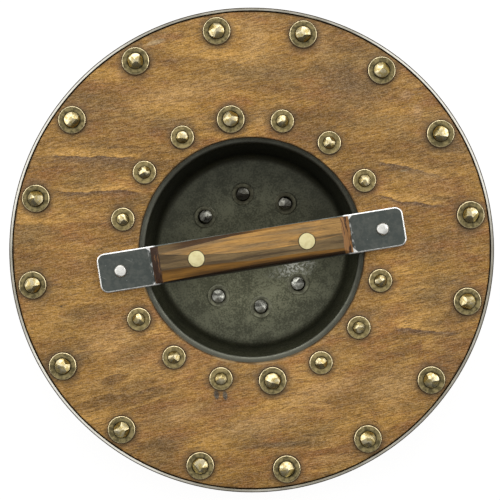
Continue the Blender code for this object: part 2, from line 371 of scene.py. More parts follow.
def mark_own_place(piece: bpy.types.Object) -> None:
    """Keep each point's present place as an attribute, which a master's copies carry along.

    Args:
        piece: The master, before it is copied.
    """
    mesh = piece.data
    places = [0.0] * (3 * len(mesh.vertices))
    mesh.vertices.foreach_get("co", places)
    attribute = mesh.attributes.new(OWN_PLACE, "FLOAT_VECTOR", "POINT")
    attribute.data.foreach_set("vector", places)


def finish_piece(piece: bpy.types.Object, material: bpy.types.Material, slot: Slot, *nodes: str) -> None:
    """Dress a piece and hang it on the shield in place of nodes of the frame.

    Args:
        piece: The finished piece.
        material: What it is made of.
        slot: The record's slot for that material; not used.
        *nodes: The nodes of the frame that it stands for.
    """
    piece.data.materials.clear()
    piece.data.materials.append(material)
    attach(piece, BODY)
    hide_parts(*nodes)
    LOG.info("%s: %d faces", piece.name, len(piece.data.polygons))


def both_ways(x: float, height: float) -> list[Matrix]:
    """Return the two places at a distance from the middle along the handle."""
    return [Matrix.Translation((way * x, 0.0, height)) for way in (-1, 1)]


def arc(middle: Point, radius: float, start: float, end: float, steps: int, rise: float = 0.0) -> list[Point]:
    """Return points on an arc, both ends included.

    Args:
        middle: The arc's middle, as (radius, height).
        radius: The arc's own radius.
        start: The angle of its first point, in degrees.
        end: The angle of its last point, in degrees.
        steps: How many segments it has.
        rise: Its own radius upwards, where that is another.

    Returns:
        The points.
    """
    points = []
    for i in range(steps + 1):
        angle = math.radians(start + (end - start) * i / steps)
        points.append((middle[0] + radius * math.cos(angle), middle[1] + (rise or radius) * math.sin(angle)))
    return points


# Drawing materials: nodes, and the effects that more than one finish uses


@dataclass(frozen=True)
class Flow:
    """An output in a node tree that is being drawn. Sums on it, and its methods, add nodes."""

    measures: ClassVar[tuple[str, ...]] = ("LENGTH", "DISTANCE", "DOT_PRODUCT")

    sheet: NodeSheet
    socket: bpy.types.NodeSocket

    def __add__(self, other: Feed) -> Flow:
        """Add."""
        return self.sheet.math("ADD", self, other)

    def __sub__(self, other: Feed) -> Flow:
        """Subtract."""
        return self.sheet.math("SUBTRACT", self, other)

    def __rsub__(self, other: Feed) -> Flow:
        """Subtract from a number."""
        return self.sheet.math("SUBTRACT", other, self)

    def __mul__(self, other: Feed) -> Flow:
        """Multiply."""
        return self.sheet.math("MULTIPLY", self, other)

    def __truediv__(self, other: Feed) -> Flow:
        """Divide."""
        return self.sheet.math("DIVIDE", self, other)

    def __rtruediv__(self, other: Feed) -> Flow:
        """Divide a number by it."""
        return self.sheet.math("DIVIDE", other, self)

    def __abs__(self) -> Flow:
        """Return its size without its sign."""
        return self.sheet.math("ABSOLUTE", self)

    def at_least(self, other: Feed) -> Flow:
        """Return the larger of the two."""
        return self.sheet.math("MAXIMUM", self, other)

    def at_most(self, other: Feed) -> Flow:
        """Return the smaller of the two."""
        return self.sheet.math("MINIMUM", self, other)

    def vector(self, operation: str, *others: Feed) -> Flow:
        """Return the result of a Vector Math node, a number for those that measure."""
        node = self.sheet.add("ShaderNodeVectorMath", self, *others, operation=operation)
        return self.sheet.out(node, "Value" if operation in self.measures else "Vector")

    def along(self, *way: float) -> Flow:
        """Return how far it lies along a way."""
        return self.vector("DOT_PRODUCT", way)

    def scaled(self, *scale: float) -> Flow:
        """Return it multiplied axis by axis."""
        return self.vector("MULTIPLY", scale)

    def turned(self, angle: Feed) -> Flow:
        """Return it turned about Z."""
        node = self.sheet.add("ShaderNodeVectorRotate", rotation_type="Z_AXIS")
        return self.sheet.out(self.sheet.fill(node, Vector=self, Angle=angle))

    def axes(self) -> tuple[Flow, Flow, Flow]:
        """Return its three numbers."""
        node = self.sheet.add("ShaderNodeSeparateXYZ", self)
        return self.sheet.out(node, 0), self.sheet.out(node, 1), self.sheet.out(node, 2)

    def from_axis(self) -> Flow:
        """Return its distance from the Z axis."""
        x, y, _ = self.axes()
        return self.sheet.combine(x, y, 0.0).vector("LENGTH")

    def noise(self, scale: Feed, detail: float = 2.0, rough: float = 0.5) -> Flow:
        """Return a noise at this place.

        Args:
            scale: How many features it has to a metre.
            detail: How many finer layers it has.
            rough: How strong each finer layer is.

        Returns:
            The noise, between 0 and 1.
        """
        node = self.sheet.add("ShaderNodeTexNoise")
        self.sheet.fill(node, Vector=self, Scale=scale, Detail=detail, Roughness=rough)
        return self.sheet.out(node, "Fac")

    def spread(self, low: Feed, high: Feed, to_low: float = 0.0, to_high: float = 1.0) -> Flow:
        """Map a range smoothly to another, and hold what lies past its ends."""
        values = (self, low, high, to_low, to_high)
        return self.sheet.out(self.sheet.add("ShaderNodeMapRange", *values, interpolation_type="SMOOTHSTEP"))

    def between(self, first: Feed, second: Feed) -> Flow:
        """Return a colour between two, of which it is the second one's share."""
        return self.sheet.mix(self, first, second)

    def under(self, layer: Feed, share: Feed) -> Flow:
        """Return the colour with a layer of another over it."""
        return self.sheet.mix(share, self, layer)

    def shaded(self, value: Flow) -> Flow:
        """Return the colour multiplied by a brightness."""
        return self.sheet.mix(1.0, self, self.sheet.combine(value, value, value), "MULTIPLY")


Feed = float | Sequence[float] | Flow
Flows = dict[str, Flow]


@dataclass(frozen=True)
class NodeSheet:
    """A node tree being drawn."""

    tree: bpy.types.NodeTree

    def add(self, kind: str, *values: Feed, **settings: object) -> bpy.types.Node:
        """Add a node.

        Args:
            kind: The node's type.
            *values: What its first sockets get, in order.
            **settings: The node's own settings.

        Returns:
            The node.
        """
        node = self.tree.nodes.new(kind)
        for name, value in settings.items():
            setattr(node, name, value)
        for socket, value in zip(node.inputs, values, strict=False):
            self.feed(socket, value)
        return node

    def out(self, node: bpy.types.Node, name: str | int = 0) -> Flow:
        """Return one of a node's outputs, to go on with."""
        return Flow(self, node.outputs[name])

    def feed(self, socket: bpy.types.NodeSocket, value: Feed) -> None:
        """Join an output to a socket, or set the socket's own value.

        Args:
            socket: The socket.
            value: The output or the value.
        """
        if isinstance(value, Flow):
            self.tree.links.new(value.socket, socket)
        else:
            socket.default_value = (*value, 1.0) if socket.type == "RGBA" else value

    def fill(self, node: bpy.types.Node, **values: Feed) -> bpy.types.Node:
        """Feed a node's sockets by their names, with spaces as underscores, and return the node.

        Args:
            node: The node.
            **values: What its sockets get.

        Returns:
            The node.
        """
        for name, value in values.items():
            self.feed(node.inputs[name.replace("_", " ")], value)
        return node

    def math(self, operation: str, *values: Feed) -> Flow:
        """Return the result of a Math node."""
        return self.out(self.add("ShaderNodeMath", *values, operation=operation))

    def combine(self, x: Feed, y: Feed, z: Feed) -> Flow:
        """Return a vector made of three numbers."""
        return self.out(self.add("ShaderNodeCombineXYZ", x, y, z))

    def object_place(self) -> Flow:
        """Return the place on the shield."""
        return self.out(self.add("ShaderNodeTexCoord"), "Object")

    def own_place(self) -> Flow:
        """Return the place on the master that a piece was copied from."""
        return self.out(self.add("ShaderNodeAttribute", attribute_name=OWN_PLACE), "Vector")

    def facing(self) -> Flow:
        """Return the way that the surface faces."""
        return self.out(self.add("ShaderNodeNewGeometry"), "Normal")

    def ramp(self, value: Feed, *stops: tuple[float, Colour]) -> Flow:
        """Return a colour from a ramp of (place, colour) stops.

        Args:
            value: Where on the ramp the colour comes from.
            *stops: The ramp's stops.

        Returns:
            The colour.
        """
        node = self.add("ShaderNodeValToRGB", value)
        elements = node.color_ramp.elements
        for _ in range(len(stops) - len(elements)):
            elements.new(0.5)
        for element, (place, colour) in zip(elements, stops, strict=True):
            element.position = place
            element.color = (*colour, 1.0)
        return self.out(node, "Color")

    def mix(self, share: Feed, first: Feed, second: Feed, how: str = "MIX") -> Flow:
        """Mix two colours.

        Args:
            share: The second one's share.
            first: The first colour.
            second: The second colour.
            how: The way that they mix.

        Returns:
            The colour.
        """
        node = self.add("ShaderNodeMix", share, data_type="RGBA", blend_type=how)
        for socket, colour in zip(node.inputs[6:8], (first, second), strict=True):
            self.feed(socket, colour)
        return self.out(node, 2)

    def bump(self, height: Feed, depth: float) -> Flow:
        """Return a normal for a height between 0 and 1 that stands for a depth in metres."""
        node = self.fill(self.add("ShaderNodeBump"), Height=height, Strength=1.0, Distance=depth)
        return self.out(node, "Normal")

    def use(self, group: bpy.types.NodeTree, place: Flow, **values: Feed) -> Flows:
        """Place a shared effect, with its other values by name, and return its outputs by name."""
        node = self.fill(self.add("ShaderNodeGroup", node_tree=group), Vector=place, **values)
        return {socket.name: Flow(self, socket) for socket in node.outputs}


class Effect:
    """A shader node group with named sockets, built once and placed in each material that uses it."""

    name: ClassVar[str] = "effect"
    inputs: ClassVar[dict[str, float | Colour]] = {}
    outputs: ClassVar[tuple[str, ...]] = ()

    def __init__(self) -> None:
        """Make the group, its sockets and its nodes."""
        self.tree = bpy.data.node_groups.new(self.name, "ShaderNodeTree")
        for name, start in {"Vector": ORIGIN, **self.inputs}.items():
            kind = "NodeSocketFloat" if isinstance(start, float) else "NodeSocketVector"
            self.tree.interface.new_socket(name=name, in_out="INPUT", socket_type=kind).default_value = start
        for name in self.outputs:
            self.tree.interface.new_socket(name=name, in_out="OUTPUT", socket_type="NodeSocketFloat")
        sheet = NodeSheet(self.tree)
        given = {socket.name: Flow(sheet, socket) for socket in sheet.add("NodeGroupInput").outputs}
        sheet.add("NodeGroupOutput", *self.draw(sheet, given["Vector"], given))

    def draw(self, sheet: NodeSheet, place: Flow, given: Flows) -> tuple[Flow, ...]:
        """Draw the effect.

        Args:
            sheet: The group's node tree.
            place: The place on the shield.
            given: The group's inputs by name.

        Returns:
            The group's outputs, in order.
        """
        raise NotImplementedError


class Grain(Effect):
    """Wood grain along X: bands, flames with one sharp edge, streaks, fine ripple, hairlines and pores."""

    name = "Wood grain"
    inputs = {
        "Band Width": 0.014,
        "Band Length": 0.090,
        "Ring Width": 0.024,
        "Streak Width": 0.0018,
        "Streak Length": 0.024,
        "Waver": 0.030,
        "Curl": 0.0014,
    }
    outputs = ("Bands", "Flames", "Streaks", "Ripple", "Lines", "Pores")

    def draw(self, sheet: NodeSheet, place: Flow, given: Flows) -> tuple[Flow, ...]:
        """Draw the grain.

        Args:
            sheet: The group's node tree.
            place: The place on the shield.
            given: The group's inputs by name.

        Returns:
            The bands, the flames, the streaks, the ripple, the hairlines and the pores.
        """
        x, y, z = place.axes()
        drift = place.scaled(0.6, 1.0, 1.0).noise(9.0, 1.0)
        twirl = place.scaled(0.75, 1.0, 1.0).noise(105.0)
        wavy_y = y + (drift - 0.5) * given["Waver"] + (twirl - 0.5) * given["Curl"]
        bands = (given["Band Length"], given["Band Width"])
        streaks = (given["Streak Length"], given["Streak Width"])

        def stretched(size: tuple[Flow, Flow], long: float, wide: float, *look: float, shift: float) -> Flow:
            """Return a noise whose features have a share of a length along X and of a width across it."""
            length, width = size[0] * long, size[1] * wide
            return sheet.combine(x / length + shift, wavy_y / width, z / width).noise(1.0, *look)

        warp = stretched(bands, 0.80, 1.0, 2.0, 0.60, shift=8.9)
        ring = sheet.math("FRACT", wavy_y / given["Ring Width"] + warp * 2.2)
        return (
            stretched(bands, 1.0, 1.0, 3.0, 0.55, shift=3.7),
            ring.spread(0.55, 0.05) * ring.spread(0.00, 0.07),
            stretched(streaks, 1.0, 1.0, 2.0, 0.60, shift=11.3),
            stretched(streaks, 0.30, 0.46, 1.0, 0.55, shift=5.1).spread(0.32, 0.68),
            stretched(streaks, 0.42, 0.52, 1.5, 0.60, shift=31.7).spread(0.54, 0.64),
            stretched(streaks, 0.14, 0.30, 0.0, 0.50, shift=23.9).spread(0.60, 0.74),
        )


class RingHalo(Effect):
    """A soft ring of grime round each washer of a ring of rivets, and a thin line of painted contact shadow
    at its foot.
    """

    name = "Ring halo"
    inputs = {"Ring Radius": 0.16, "Count": 16.0, "Washer Radius": 0.010, "Reach": 0.006}
    outputs = ("Halo", "Line")

    def draw(self, sheet: NodeSheet, place: Flow, given: Flows) -> tuple[Flow, ...]:
        """Draw the halo.

        Args:
            sheet: The group's node tree.
            place: The place on the shield.
            given: The group's inputs by name.

        Returns:
            The halo, 1 at the washers' edge and 0 past their reach, and the painted contact shadow's line.
        """
        x, y, _ = place.axes()
        radius = place.from_axis()
        turns = sheet.math("ARCTAN2", y, x) / math.tau
        nearest = sheet.math("PINGPONG", turns * given["Count"], 0.5)
        aside = nearest / given["Count"] * math.tau * radius
        away = sheet.combine(aside, radius - given["Ring Radius"], 0.0).vector("LENGTH")
        past = away - given["Washer Radius"]
        share = past / given["Reach"] + (place.noise(160.0) - 0.5) * 0.9
        return share.spread(0.0, 1.0, 1.0, 0.0), past.spread(0.0011, 0.0004)


class Blot(Effect):
    """One soft, ragged patch on a face."""

    name = "Blot"
    inputs = {"Centre": ORIGIN, "Reach": (0.01, 0.01, 0.01), "Lean": 0.0, "Ragged": 0.6, "Soft": 0.5}
    outputs = ("Mask",)

    def draw(self, sheet: NodeSheet, place: Flow, given: Flows) -> tuple[Flow, ...]:
        """Draw the patch.

        Args:
            sheet: The group's node tree.
            place: The place on the shield.
            given: The group's inputs by name.

        Returns:
            The mask, 1 inside the patch.
        """
        offset = place.vector("SUBTRACT", given["Centre"]).turned(given["Lean"] * -1.0)
        share = offset.vector("DIVIDE", given["Reach"])
        frays = (share.noise(1.6, 3.0) - 0.5) * given["Ragged"]
        edge = (share.vector("LENGTH") + frays - 1.0) / given["Soft"]
        return (edge.spread(-1.0, 0.0, 1.0, 0.0),)


class Flame(Effect):
    """One long lick of figure in the wood: pale above a sharp, wavy edge, and dark under it."""

    name = "Flame"
    inputs = {"Centre": ORIGIN, "Lean": 0.0, "Half Length": 0.030, "Pale Width": 0.006, "Dark Width": 0.004}
    outputs = ("Pale", "Dark")

    def draw(self, sheet: NodeSheet, place: Flow, given: Flows) -> tuple[Flow, ...]:
        """Draw the lick.

        Args:
            sheet: The group's node tree.
            place: The place on the shield.
            given: The group's inputs by name.

        Returns:
            The pale side and the dark side.
        """
        along, across, _ = place.vector("SUBTRACT", given["Centre"]).turned(given["Lean"] * -1.0).axes()
        edge = across + (place.noise(30.0, 4.0, 0.6) - 0.5) * 0.014
        frays = place.scaled(1.0, 6.0, 1.0).noise(55.0)
        kept = (abs(along) / given["Half Length"] + frays).spread(1.00, 1.50, 1.0, 0.0)
        pale = edge.spread(-0.0004, 0.0004) * edge.spread(given["Pale Width"], 0.0)
        dark = edge.spread(0.0002, -0.0006) * edge.spread(given["Dark Width"] * -1.0, 0.0)
        return pale * kept, dark * kept


class Scuff(Effect):
    """Handled metal: cloudy mottling, small specks and fine scratches."""

    name = "Metal scuff"
    inputs = {"Cloud Size": 0.006, "Speck Size": 0.0011}
    outputs = ("Clouds", "Specks", "Scratches")

    def draw(self, sheet: NodeSheet, place: Flow, given: Flows) -> tuple[Flow, ...]:
        """Draw the scuffs.

        Args:
            sheet: The group's node tree.
            place: The place on the shield.
            given: The group's inputs by name.

        Returns:
            The clouds, the specks and the scratches.
        """
        clouds = place.noise(1.0 / given["Cloud Size"], 4.0, 0.62)
        specks = place.noise(1.0 / given["Speck Size"], 2.0, 0.6).spread(0.52, 0.70)
        lines = place.turned(0.6).scaled(90.0, 1700.0, 300.0).noise(1.0, 1.0)
        return clouds, specks, lines.spread(0.66, 0.74) * place.noise(70.0, 1.0).spread(0.5, 0.62)


@dataclass
class Effects:
    """The shared effects, each built once."""

    grain: bpy.types.NodeTree = field(default_factory=lambda: Grain().tree)
    halo: bpy.types.NodeTree = field(default_factory=lambda: RingHalo().tree)
    blot: bpy.types.NodeTree = field(default_factory=lambda: Blot().tree)
    flame: bpy.types.NodeTree = field(default_factory=lambda: Flame().tree)
    scuff: bpy.types.NodeTree = field(default_factory=lambda: Scuff().tree)


# Finishes


@dataclass(frozen=True)
class Coat:
    """What a finish gives its shader."""

    colour: Flow
    rough: Flow
    relief: Flow
    relief_depth: float
    metallic: float = 1.0
    specular: float = 0.5


@dataclass(frozen=True)
class Finish:
    """What every finish shares: the effects it draws on, and its name."""

    # Painted shade on the bowl: darker towards its side above the handle, along this way, over this range, up
    # to this share.
    shade_way: ClassVar[tuple[float, float, float]] = (0.16, 0.99, 0.0)  # the bowl's dark side
    shade_from: ClassVar[Point] = (-0.030, 0.060)
    shade_share: ClassVar[float] = 0.72

    effects: Effects
    name: str

    def make(self) -> bpy.types.Material:
        """Return the finish as a material."""
        material = bpy.data.materials.new(self.name)
        material.use_nodes = True
        sheet = NodeSheet(material.node_tree)
        coat = self.draw(sheet, sheet.object_place())
        shader = material.node_tree.nodes["Principled BSDF"]
        sheet.fill(shader, Base_Color=coat.colour, Roughness=coat.rough, Metallic=coat.metallic)
        normal = sheet.bump(coat.relief, coat.relief_depth)
        sheet.fill(shader, Normal=normal, Specular_IOR_Level=coat.specular)
        return material

    def scuffs(self, sheet: NodeSheet, place: Flow, cloud: float = 0.006, speck: float = 0.0011) -> Flows:
        """Return the scuffs of handled metal, with clouds and specks of a size."""
        return sheet.use(self.effects.scuff, place, Cloud_Size=cloud, Speck_Size=speck)

    def upper_side_shade(self, place: Flow) -> Flow:
        """Return how much painted shade the bowl gets, more towards the side above the handle."""
        return place.along(*self.shade_way).spread(*self.shade_from, 0.0, self.shade_share)

    def draw(self, sheet: NodeSheet, place: Flow) -> Coat:
        """Draw the finish.

        Args:
            sheet: The material's node tree.
            place: The place on the shield.

        Returns:
            What its shader gets.
        """
        raise NotImplementedError


@dataclass(frozen=True)
class Mark:
    """A patch of another colour on the board."""

    x: float
    y: float
    reach_x: float
    reach_y: float
    colour: Colour
    share: float
    lean: float = 0.0  # in degrees
    ragged: float = 0.7
    soft: float = 0.6


@dataclass(frozen=True)
class Lick:
    """A lick of figure on the board, by the middle of its sharp edge."""

    x: float
    y: float
    half_length: float
    pale_width: float
    dark_width: float
    lean: float  # in degrees
    share: float = 0.85


@dataclass(frozen=True)
class StainedWood(Finish):
    """The board's wood: stained, rubbed thin on its figure, with grime round the rivets, painted contact
    shadow at the washers' feet, painted shade along its edges and painted light on the hand hole's lower-left
    lip.
    """

    span: Span
    hole_radius: float
    rings: tuple[RivetRing, ...]
    marks: tuple[Mark, ...]
    licks: tuple[Lick, ...]
    brown: Colour = (0.252, 0.125, 0.024)
    middle: Colour = (0.366, 0.184, 0.033)
    light: Colour = (0.463, 0.243, 0.046)
    gold: Colour = (0.660, 0.360, 0.085)
    red: Colour = (0.305, 0.123, 0.030)
    grey: Colour = (0.230, 0.142, 0.048)
    shadow: Colour = (0.150, 0.084, 0.042)
    dust: Colour = (0.580, 0.430, 0.235)
    line: Colour = (0.092, 0.050, 0.022)
    grime: Colour = (0.120, 0.080, 0.042)
    # Dark: the pores' colour, and also painted shade at the washers' feet and along the board's edges.
    dark: Colour = (0.050, 0.030, 0.014)
    # Painted light on the hand hole's lip.
    lit_lip: Colour = (0.460, 0.300, 0.140)
    speck: Colour = (0.500, 0.460, 0.410)
    slopes: Point = (0.07, -0.15)  # how the figure runs at the board's low side and at its high side
    hatch_slope: float = 0.056  # how the fine fibres run up, everywhere

    def stains(self, sheet: NodeSheet, place: Flow) -> Flow:
        """Return the colour of the figure, its licks and the marks on it.

        Args:
            sheet: The material's node tree.
            place: The place on the shield.

        Returns:
            The colour.
        """
        x, y, z = place.axes()
        fanned = sheet.combine(x, y - y.spread(-0.090, 0.100, *self.slopes) * x, z)
        grain = sheet.use(self.effects.grain, fanned)
        figure = grain["Bands"] + (self.fibres(sheet, place)["Streaks"] - 0.5) * 0.30
        colour = sheet.ramp(figure, (0.34, self.brown), (0.50, self.middle), (0.66, self.light))
        for tint, scale, low, share in ((self.red, 60.0, 0.46, 0.70), (self.grey, 34.0, 0.48, 0.60)):
            clouds = fanned.scaled(0.40, 1.0, 1.0).noise(scale, 5.0, 0.65)
            colour = colour.under(tint, clouds.spread(low, low + 0.20, 0.0, share))
        shown = place.scaled(0.7, 1.0, 1.0).noise(22.0).spread(0.46, 0.62, 0.0, 0.50)
        colour = colour.under(self.gold, grain["Flames"] * shown)
        for lick in self.licks:
            flame = sheet.use(
                self.effects.flame,
                place,
                Centre=(lick.x, lick.y, 0.0),
                Lean=math.radians(lick.lean),
                Half_Length=lick.half_length,
                Pale_Width=lick.pale_width,
                Dark_Width=lick.dark_width,
            )
            for side, tint in (("Pale", self.gold), ("Dark", self.shadow)):
                colour = colour.under(tint, flame[side] * lick.share)
        for mark in self.marks:
            blot = sheet.use(
                self.effects.blot,
                place,
                Centre=(mark.x, mark.y, self.span.high.z),
                Reach=(mark.reach_x, mark.reach_y, 0.004),
                Lean=math.radians(mark.lean),
                Ragged=mark.ragged,
                Soft=mark.soft,
            )
            colour = colour.under(mark.colour, blot["Mask"] * mark.share)
        return colour

    def fibres(self, sheet: NodeSheet, place: Flow) -> Flows:
        """Return the fine grain, which runs the same way all over the board.

        Args:
            sheet: The material's node tree.
            place: The place on the shield.

        Returns:
            The grain's outputs by name.
        """
        x, y, z = place.axes()
        hatched = sheet.combine(x, y - x * self.hatch_slope, z)
        return sheet.use(self.effects.grain, hatched, Streak_Length=0.018, Waver=0.006)

    def draw(self, sheet: NodeSheet, place: Flow) -> Coat:
        """Draw the wood.

        Args:
            sheet: The material's node tree.
            place: The place on the shield.

        Returns:
            What its shader gets.
        """
        fibres = self.fibres(sheet, place)
        streaks, ripple, lines, pores = (fibres[name] for name in ("Streaks", "Ripple", "Lines", "Pores"))
        broad = place.scaled(0.6, 1.0, 1.0).noise(30.0).spread(0.32, 0.68, 0.84, 1.16)
        grit = place.noise(1350.0)
        shade = (ripple * 0.34 + 0.85) * broad * grit.spread(0.32, 0.68, 0.76, 1.20)
        colour = self.stains(sheet, place).shaded(shade).under(self.dust, ripple.spread(0.66, 1.0) * 0.14)
        colour = colour.under(self.line, lines * 0.36).under(self.dark, pores * 0.20)
        colour = colour.under(self.speck, grit.spread(0.44, 0.68, 0.0, 0.16))
        for ring in self.rings:
            sizes = {"Ring_Radius": ring.radius, "Washer_Radius": ring.kind.washer_radius}
            halo = sheet.use(self.effects.halo, place, Count=float(ring.count), **sizes)
            # Grime round each washer, and painted contact shadow at its foot.
            colour = colour.under(self.grime, halo["Halo"] * 0.6).under(self.dark, halo["Line"] * 0.8)
        edge, hole, radius = self.span.high.x, self.hole_radius, place.from_axis()
        # Painted shade within a few millimetres of the board's outer edge, by the rim, and of the hand hole,
        # by the boss.
        ragged = radius + place.noise(90.0) * 0.003
        hole_shade = ragged.spread(hole + 0.0028, hole + 0.0012)
        edge_tone = ragged.spread(edge + 0.0004, edge + 0.0020).at_least(hole_shade)
        # Painted light on the hand hole's lip towards the lower left.
        lip = radius.spread(hole + 0.0017, hole + 0.0011)
        lit_patches = place.noise(38.0).spread(0.40, 0.56) * place.along(-0.64, -0.77, 0.0).spread(0.020, 0.070)
        colour = colour.under(self.dark, edge_tone * 0.80).under(self.lit_lip, lip * lit_patches * 0.75)
        return Coat(colour, streaks * -0.20 + 0.70, ripple - (lines * 0.7 + pores), 0.00014, 0.0, 0.24)


@dataclass(frozen=True)
class GripWood(Finish):
    """The scales' wood: oiled, each planed facet of another brown, with painted shade on the steep facets
    facing -Y by the strap, and dark streaked end grain, painted lighter at the +X end.
    """

    span: Span
    end_width: float
    lens_end: float = 0.029  # where the broad facet's planed lens ends
    brown: Colour = (0.088, 0.057, 0.026)
    middle: Colour = (0.205, 0.134, 0.056)
    tan: Colour = (0.455, 0.243, 0.066)
    tan_grey: Colour = (0.235, 0.150, 0.066)
    orange: Colour = (0.285, 0.138, 0.029)
    umber: Colour = (0.068, 0.034, 0.013)
    # Painted shade colour for the steep facets facing -Y by the strap.
    painted_shade: Colour = (0.018, 0.009, 0.005)
    end_grain: Colour = (0.046, 0.022, 0.012)
    end_light: Colour = (0.330, 0.160, 0.055)

    def draw(self, sheet: NodeSheet, place: Flow) -> Coat:
        """Draw the wood.

        Args:
            sheet: The material's node tree.
            place: The place on the shield.

        Returns:
            What its shader gets.
        """
        grain = sheet.use(
            self.effects.grain,
            place,
            Band_Width=0.0036,
            Band_Length=0.060,
            Ring_Width=0.0060,
            Streak_Width=0.0010,
            Streak_Length=0.022,
            Waver=0.0060,
            Curl=0.0010,
        )
        bands, streaks = grain["Bands"], grain["Streaks"]
        x, y, z = place.axes()
        leans = sheet.facing().axes()[1]

        # The broad facet: plain, then planed pale as far as the lens reaches
        colour = bands.spread(0.36, 0.62).between(self.brown, self.middle)
        planed = sheet.ramp(bands, (0.38, self.tan_grey), (0.58, self.tan))
        planed = planed.under(self.tan, grain["Flames"] * 0.35)
        reach = y.spread(0.0020, 0.0048) * 0.024 + self.lens_end
        lens = (x + place.noise(210.0) * 0.010 - reach).spread(0.006, 0.003)
        worked = lens.between(colour.under(self.tan, bands.spread(0.36, 0.60, 0.10, 0.62)), planed)
        colour = colour.under(worked, leans.spread(0.06, 0.13))

        # The facets beside it, down to the strap, the lowest with painted shade
        strip = bands.spread(0.40, 0.60).between(self.umber, self.orange).under(self.orange, 0.30)
        colour = colour.under(strip, leans.spread(-0.18, -0.34))
        on_top = leans.spread(0.40, 0.54)
        colour = colour.under(x.spread(-0.010, 0.016).between(self.umber, self.orange), on_top)
        colour = colour.under(self.middle, x.spread(-0.046, -0.060, 0.0, 0.6) * on_top)
        # Painted shade: the steep facets facing -Y go near black next to the strap.
        back_z = self.span.high.z
        down_facet_shade = z.spread(back_z - 0.0046, back_z - 0.0022).between(self.painted_shade, self.umber)
        colour = colour.under(down_facet_shade, leans.spread(-0.55, -0.72))
        colour = colour.shaded(streaks * 1.3 + 0.35).under(self.umber, grain["Pores"] * 0.18)

        # The end grain, with painted light: lighter at the +X end than at the -X end
        inward = self.span.high.x - abs(x) + place.noise(260.0) * 0.0016
        lines = sheet.combine(x + place.noise(160.0) * 0.0040, y * 0.10, 0.0).noise(620.0, 3.0, 0.6)
        end = (lines + x * 1.2).spread(0.44, 0.62).between(self.end_grain, self.end_light)
        colour = colour.under(end, inward.spread(self.end_width + 0.0010, self.end_width + 0.0004))
        return Coat(colour, streaks * -0.2 + 0.50, streaks * 0.6 - grain["Pores"], 0.00008, 0.0, 0.25)


@dataclass(frozen=True)
class RimSteel(Finish):
    """The band's steel: mottled on its wall and front, dark scale on its inner side, painted shade as a dark
    line along its edge's sides, and bright on its top.
    """

    span: Span
    bright: Colour = (0.96, 0.93, 0.83)
    dull: Colour = (0.36, 0.335, 0.265)
    light: Colour = (0.50, 0.48, 0.42)
    dark: Colour = (0.26, 0.25, 0.21)
    # Scale: the inner side's colour, and also the painted shade along the edge's sides.
    scale: Colour = (0.066, 0.048, 0.022)
    rubbed_at: tuple[Point, ...] = ((0.158, 0.076), (-0.135, 0.111), (-0.158, -0.110))

    def draw(self, sheet: NodeSheet, place: Flow) -> Coat:
        """Draw the steel.

        Args:
            sheet: The material's node tree.
            place: The place on the shield.

        Returns:
            What its shader gets.
        """
        scuff = self.scuffs(sheet, place)
        clouds, outer = scuff["Clouds"], self.span.high.x
        colour = clouds.spread(0.34, 0.66).between(self.dark, self.light)
        height = self.span.high.z - place.axes()[2]
        # Dark scale on the inner side, and painted shade as a dark line within about 2 mm below the hammered
        # edge's top.
        inside = place.from_axis().spread(outer - 0.0010, outer - 0.0015)
        colour = colour.under(self.scale, inside.at_least(height.spread(0.0018, 0.0010)))
        edge_tone = (place.noise(60.0, 3.0) - 0.5) * 0.9
        for x, y in self.rubbed_at:
            edge_tone = edge_tone + place.vector("DISTANCE", (x, y, self.span.high.z)).spread(0.120, 0.020)
        hammered = edge_tone.spread(-0.25, 0.75).between(self.dull, self.bright)
        colour = colour.under(hammered, height.spread(0.00016, 0.00006))
        return Coat(colour, clouds.spread(0.36, 0.70, 0.50, 0.30), clouds + scuff["Specks"] * 0.35, 0.00010)


